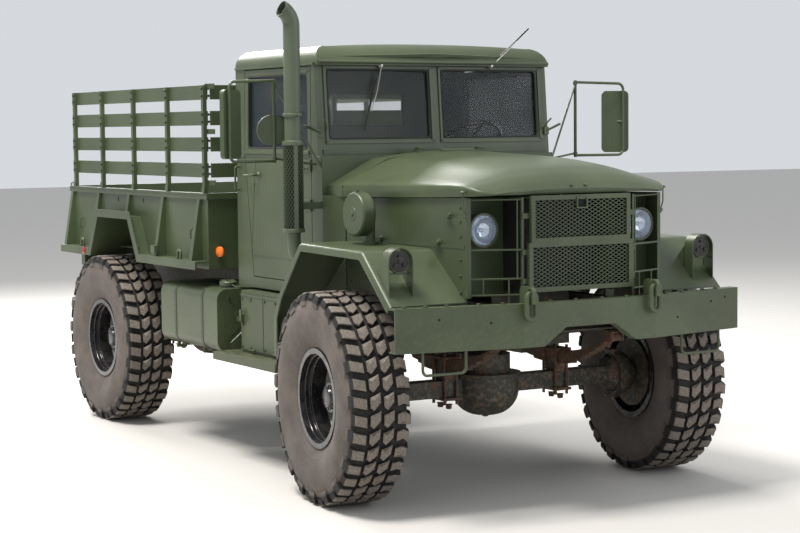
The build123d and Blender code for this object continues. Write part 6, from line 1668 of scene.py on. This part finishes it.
def fluted(spot, low, high, front_axis):
    """How deep a sewn flute sinks at a spot of a pad's front."""
    shares = [(spot[k] - low[k]) / (high[k] - low[k]) for k in range(3)]
    edge = min(min(shares[k], 1 - shares[k]) for k in range(3) if k != front_axis)
    across = shares[1] * FLUTES
    on_front = edge > FLUTE_MARGIN and shares[front_axis] > FLUTE_FRONT
    if not on_front or not FLUTES - 0.5 > across > 0.5:
        return 0.0
    return FLUTE_DEPTH * exp(-((across - round(across)) ** 2) / FLUTE_WIDTH)


vinyl = Finish("seat_vinyl", "seat_vinyl")
pores = vinyl.node("ShaderNodeTexVoronoi", None, {"Vector": vinyl.place(), "Scale": 420.0})
creases = vinyl.noise(14.0, 5.0, 0.6)
vinyl_colour = vinyl.between(vinyl.share(creases, 0.4, 0.75), VINYL, VINYL_WORN)
vinyl_relief = vinyl.bump(pores, 0.0006, 0.5, vinyl.bump(creases, 0.004, 0.5))
seat_vinyl = vinyl.surface({"Base Color": vinyl_colour, "Roughness": 0.45 + creases * 0.2,
                            "Normal": vinyl_relief})
scene = bpy.context.scene
pads = []
for pad_name, xs, ys, zs, front_axis in PADS:
    inset = Vector((1, 1, 1)) * START_INSET
    low, high = (at(xs[k], ys[k], zs[k]) + inset * (1 - 2 * k) for k in (0, 1))
    pad = plain_pad(pad_name, low, high)
    cloth = pad.modifiers.new("cloth", "CLOTH")
    cloth.settings.use_pressure = True
    cloth.settings.uniform_pressure_force = PRESSURE
    cloth.settings.effector_weights.gravity = 0.0
    cloth.settings.quality = 5
    pads.append((pad, low, high, front_axis))
rest_points = [[vert.co.copy() for vert in pad.data.vertices] for pad, *_ in pads]
for frame_number in range(1, LAST_FRAME + 1):
    scene.frame_set(frame_number)
for (pad, low, high, front_axis), starts in zip(pads, rest_points):
    puffed = baked(pad)
    pad.modifiers.clear()
    pad.data = puffed
    for vert, start in zip(puffed.vertices, starts):
        move = vert.co - start
        if move.length > PUFF_LIMIT:
            vert.co = start + move.normalized() * PUFF_LIMIT
        vert.co[front_axis] -= fluted(vert.co, low, high, front_axis)
    fine = pad.modifiers.new("smooth", "SUBSURF")
    fine.levels = fine.render_levels = 1
    pad.data = baked(pad)
    pad.modifiers.clear()
    pad.data.shade_smooth()
    pad.data.materials.clear()
    pad.data.materials.append(seat_vinyl)
    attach(pad, "chassis")
    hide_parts("seat_cushions")
scene.frame_set(1)
kit = Kit()
for pad_name, xs, ys, zs, front_axis in PADS:
    in_x, in_y, in_z = ((low + PIPING_INSET, high - PIPING_INSET) for low, high in (xs, ys, zs))
    if front_axis == 2:
        seam = [(in_x[i], in_y[j], zs[1] - PIPING_TOP) for i, j in ALL_ROUND]
    else:
        seam = [(xs[1] - PIPING_FRONT, in_y[i], in_z[j]) for i, j in ALL_ROUND]
    kit.loop(seam, PIPING, PIPING_BEND)
kit.done("seat_piping", "chassis", seat_vinyl)

# Dashboard: a cluster of round gauges in a black panel with a few switches and a grab rail, plus
# pedals and the two gear levers on the floor. Nothing on them is lettered.
GAUGES = [
    # y, z, radius
    (560, 1850, 44), (440, 1850, 44), (640, 1800, 26), (640, 1870, 26), (360, 1800, 26),
    (360, 1870, 26), (500, 1780, 22),
]
DASH_X = -870
DIAL_X = DASH_X - 9
GAUGE_PANEL = ((DASH_X, 320, 1835), (DASH_X, 690, 1835))
NEEDLE_SHARE = 0.62
MARK_SHARES = (0.66, 0.80)
SWITCHES_Y = (-700, -640, -580, 200, 240, 280)
SWITCH_Z = 1800
SWITCH = [(0, 9), (6, 9), (7, 4), (18, 5), (19, 0)]
DASH_RAIL = [(-868, -740, 1890), (-910, -740, 1890), (-910, -240, 1890), (-868, -240, 1890)]
PEDALS_Y = (380, 560)
PEDAL_Z = 1330
THROTTLE = ((-800, 660, 1230), (-880, 660, 1290))
LEVERS = [
    # y, top, lean, boot, the boot's sides
    (110, 1610, -60, [(0, 60), (14, 56), (50, 24), (70, 12)], 28),
    (40, 1520, -20, [(0, 30), (10, 28), (40, 14)], 24),
]
LEVER_X = -1050
LEVER_KNOB = [(-8, 10), (-2, 20), (16, 24), (32, 14), (35, 0)]
CAB_FLOOR = 1192
MATS = [
    # start x and y, end x and y, width
    ((-1690, -700), (-760, -700), 180), ((-1240, 400), (-760, 400), 640),
]
kit = Kit()
kit.bar(*GAUGE_PANEL, 150, 4, REARWARD)
for y, z, radius in GAUGES:
    kit.turned((DASH_X - 3, y, z), REARWARD, [(0, radius), (9, radius), (10, radius - 4),
                                              (4, radius - 6), (4, 0)], 28)
for y in SWITCHES_Y:
    kit.turned((DASH_X, y, SWITCH_Z), REARWARD, SWITCH, 14)
kit.done("gauges", "chassis", enamel)


def on_dial(y, z, radius, angle):
    """A place on a gauge's dial, out from its middle."""
    return (DIAL_X, y + radius * cos(angle), z + radius * sin(angle))


kit = Kit()
for y, z, radius in GAUGES:
    angle = radians(y * 3 + z)
    reach = radius * NEEDLE_SHARE
    needle = (DIAL_X, y + reach * cos(angle), z + reach * abs(sin(angle)))
    kit.bar((DIAL_X, y, z), needle, 3, 1, REARWARD)
    for k in range(9):
        mark = radians(210 - 30 * k)
        inner, outer = (on_dial(y, z, radius * share, mark) for share in MARK_SHARES)
        kit.bar(inner, outer, 2, 0.8, REARWARD)
kit.done("gauge_marks", "chassis", finishes["white_paint"])
kit = Kit()
kit.tube(DASH_RAIL, 9, 20)
for y in PEDALS_Y:
    kit.tube([(-760, y, PEDAL_Z + 130), (-860, y, PEDAL_Z), (-870, y, PEDAL_Z - 12)], 8, 20)
    kit.bar((-880, y - 38, PEDAL_Z - 8), (-880, y + 38, PEDAL_Z - 8), 76, 10, (-0.7, 0, 0.7))
kit.bar(*THROTTLE, 60, 8, (-0.5, 0, 0.8))
for y, top, lean, boot, boot_sides in LEVERS:
    kit.tube([(LEVER_X, y, 1190), (LEVER_X - 20, y, 1400), (LEVER_X - 60 + lean, y, top)], 9, 60)
    kit.turned((LEVER_X - 60 + lean, y, top), UP, LEVER_KNOB, 20)
    kit.turned((LEVER_X, y, 1188), UP, boot, boot_sides)
kit.done("cab_controls", "chassis", enamel)
kit = Kit()
for start, end, wide in MATS:
    kit.bar((*start, CAB_FLOOR), (*end, CAB_FLOOR), wide, 3)
kit.done("floor_mats", "chassis", rubber)
dress(gloss("wheel_rim_black"), "steering_wheel")
dress(enamel, "radiator")

# Radiator core: thin upright tubes crossed by fins, behind the grille. A dark baffle plate on each
# side closes the gap to the guard.
CORE_X = 545
CORE_Y = (-326, 326)
CORE_Z = (1215, 1735)
TUBES = (44, 15)
FINS = (52, 10)
BAFFLE = ((550, 345, 1480), (785, 366, 1480))
kit = Kit()
for k in range(TUBES[0]):
    y = CORE_Y[0] + 4 + k * TUBES[1]
    kit.bar((CORE_X, y, CORE_Z[0]), (CORE_X, y, CORE_Z[1]), 3, 5, FORWARD)
for k in range(FINS[0]):
    z = CORE_Z[0] + 5 + k * FINS[1]
    kit.bar((CORE_X, CORE_Y[0], z), (CORE_X, CORE_Y[1], z), 1.5, 3, FORWARD)
for side in (1, -1):
    kit.bar(*((x, side * y, z) for x, y, z in BAFFLE), 520, 4, (0, side, 0))
kit.done("radiator_fins", "chassis", enamel)
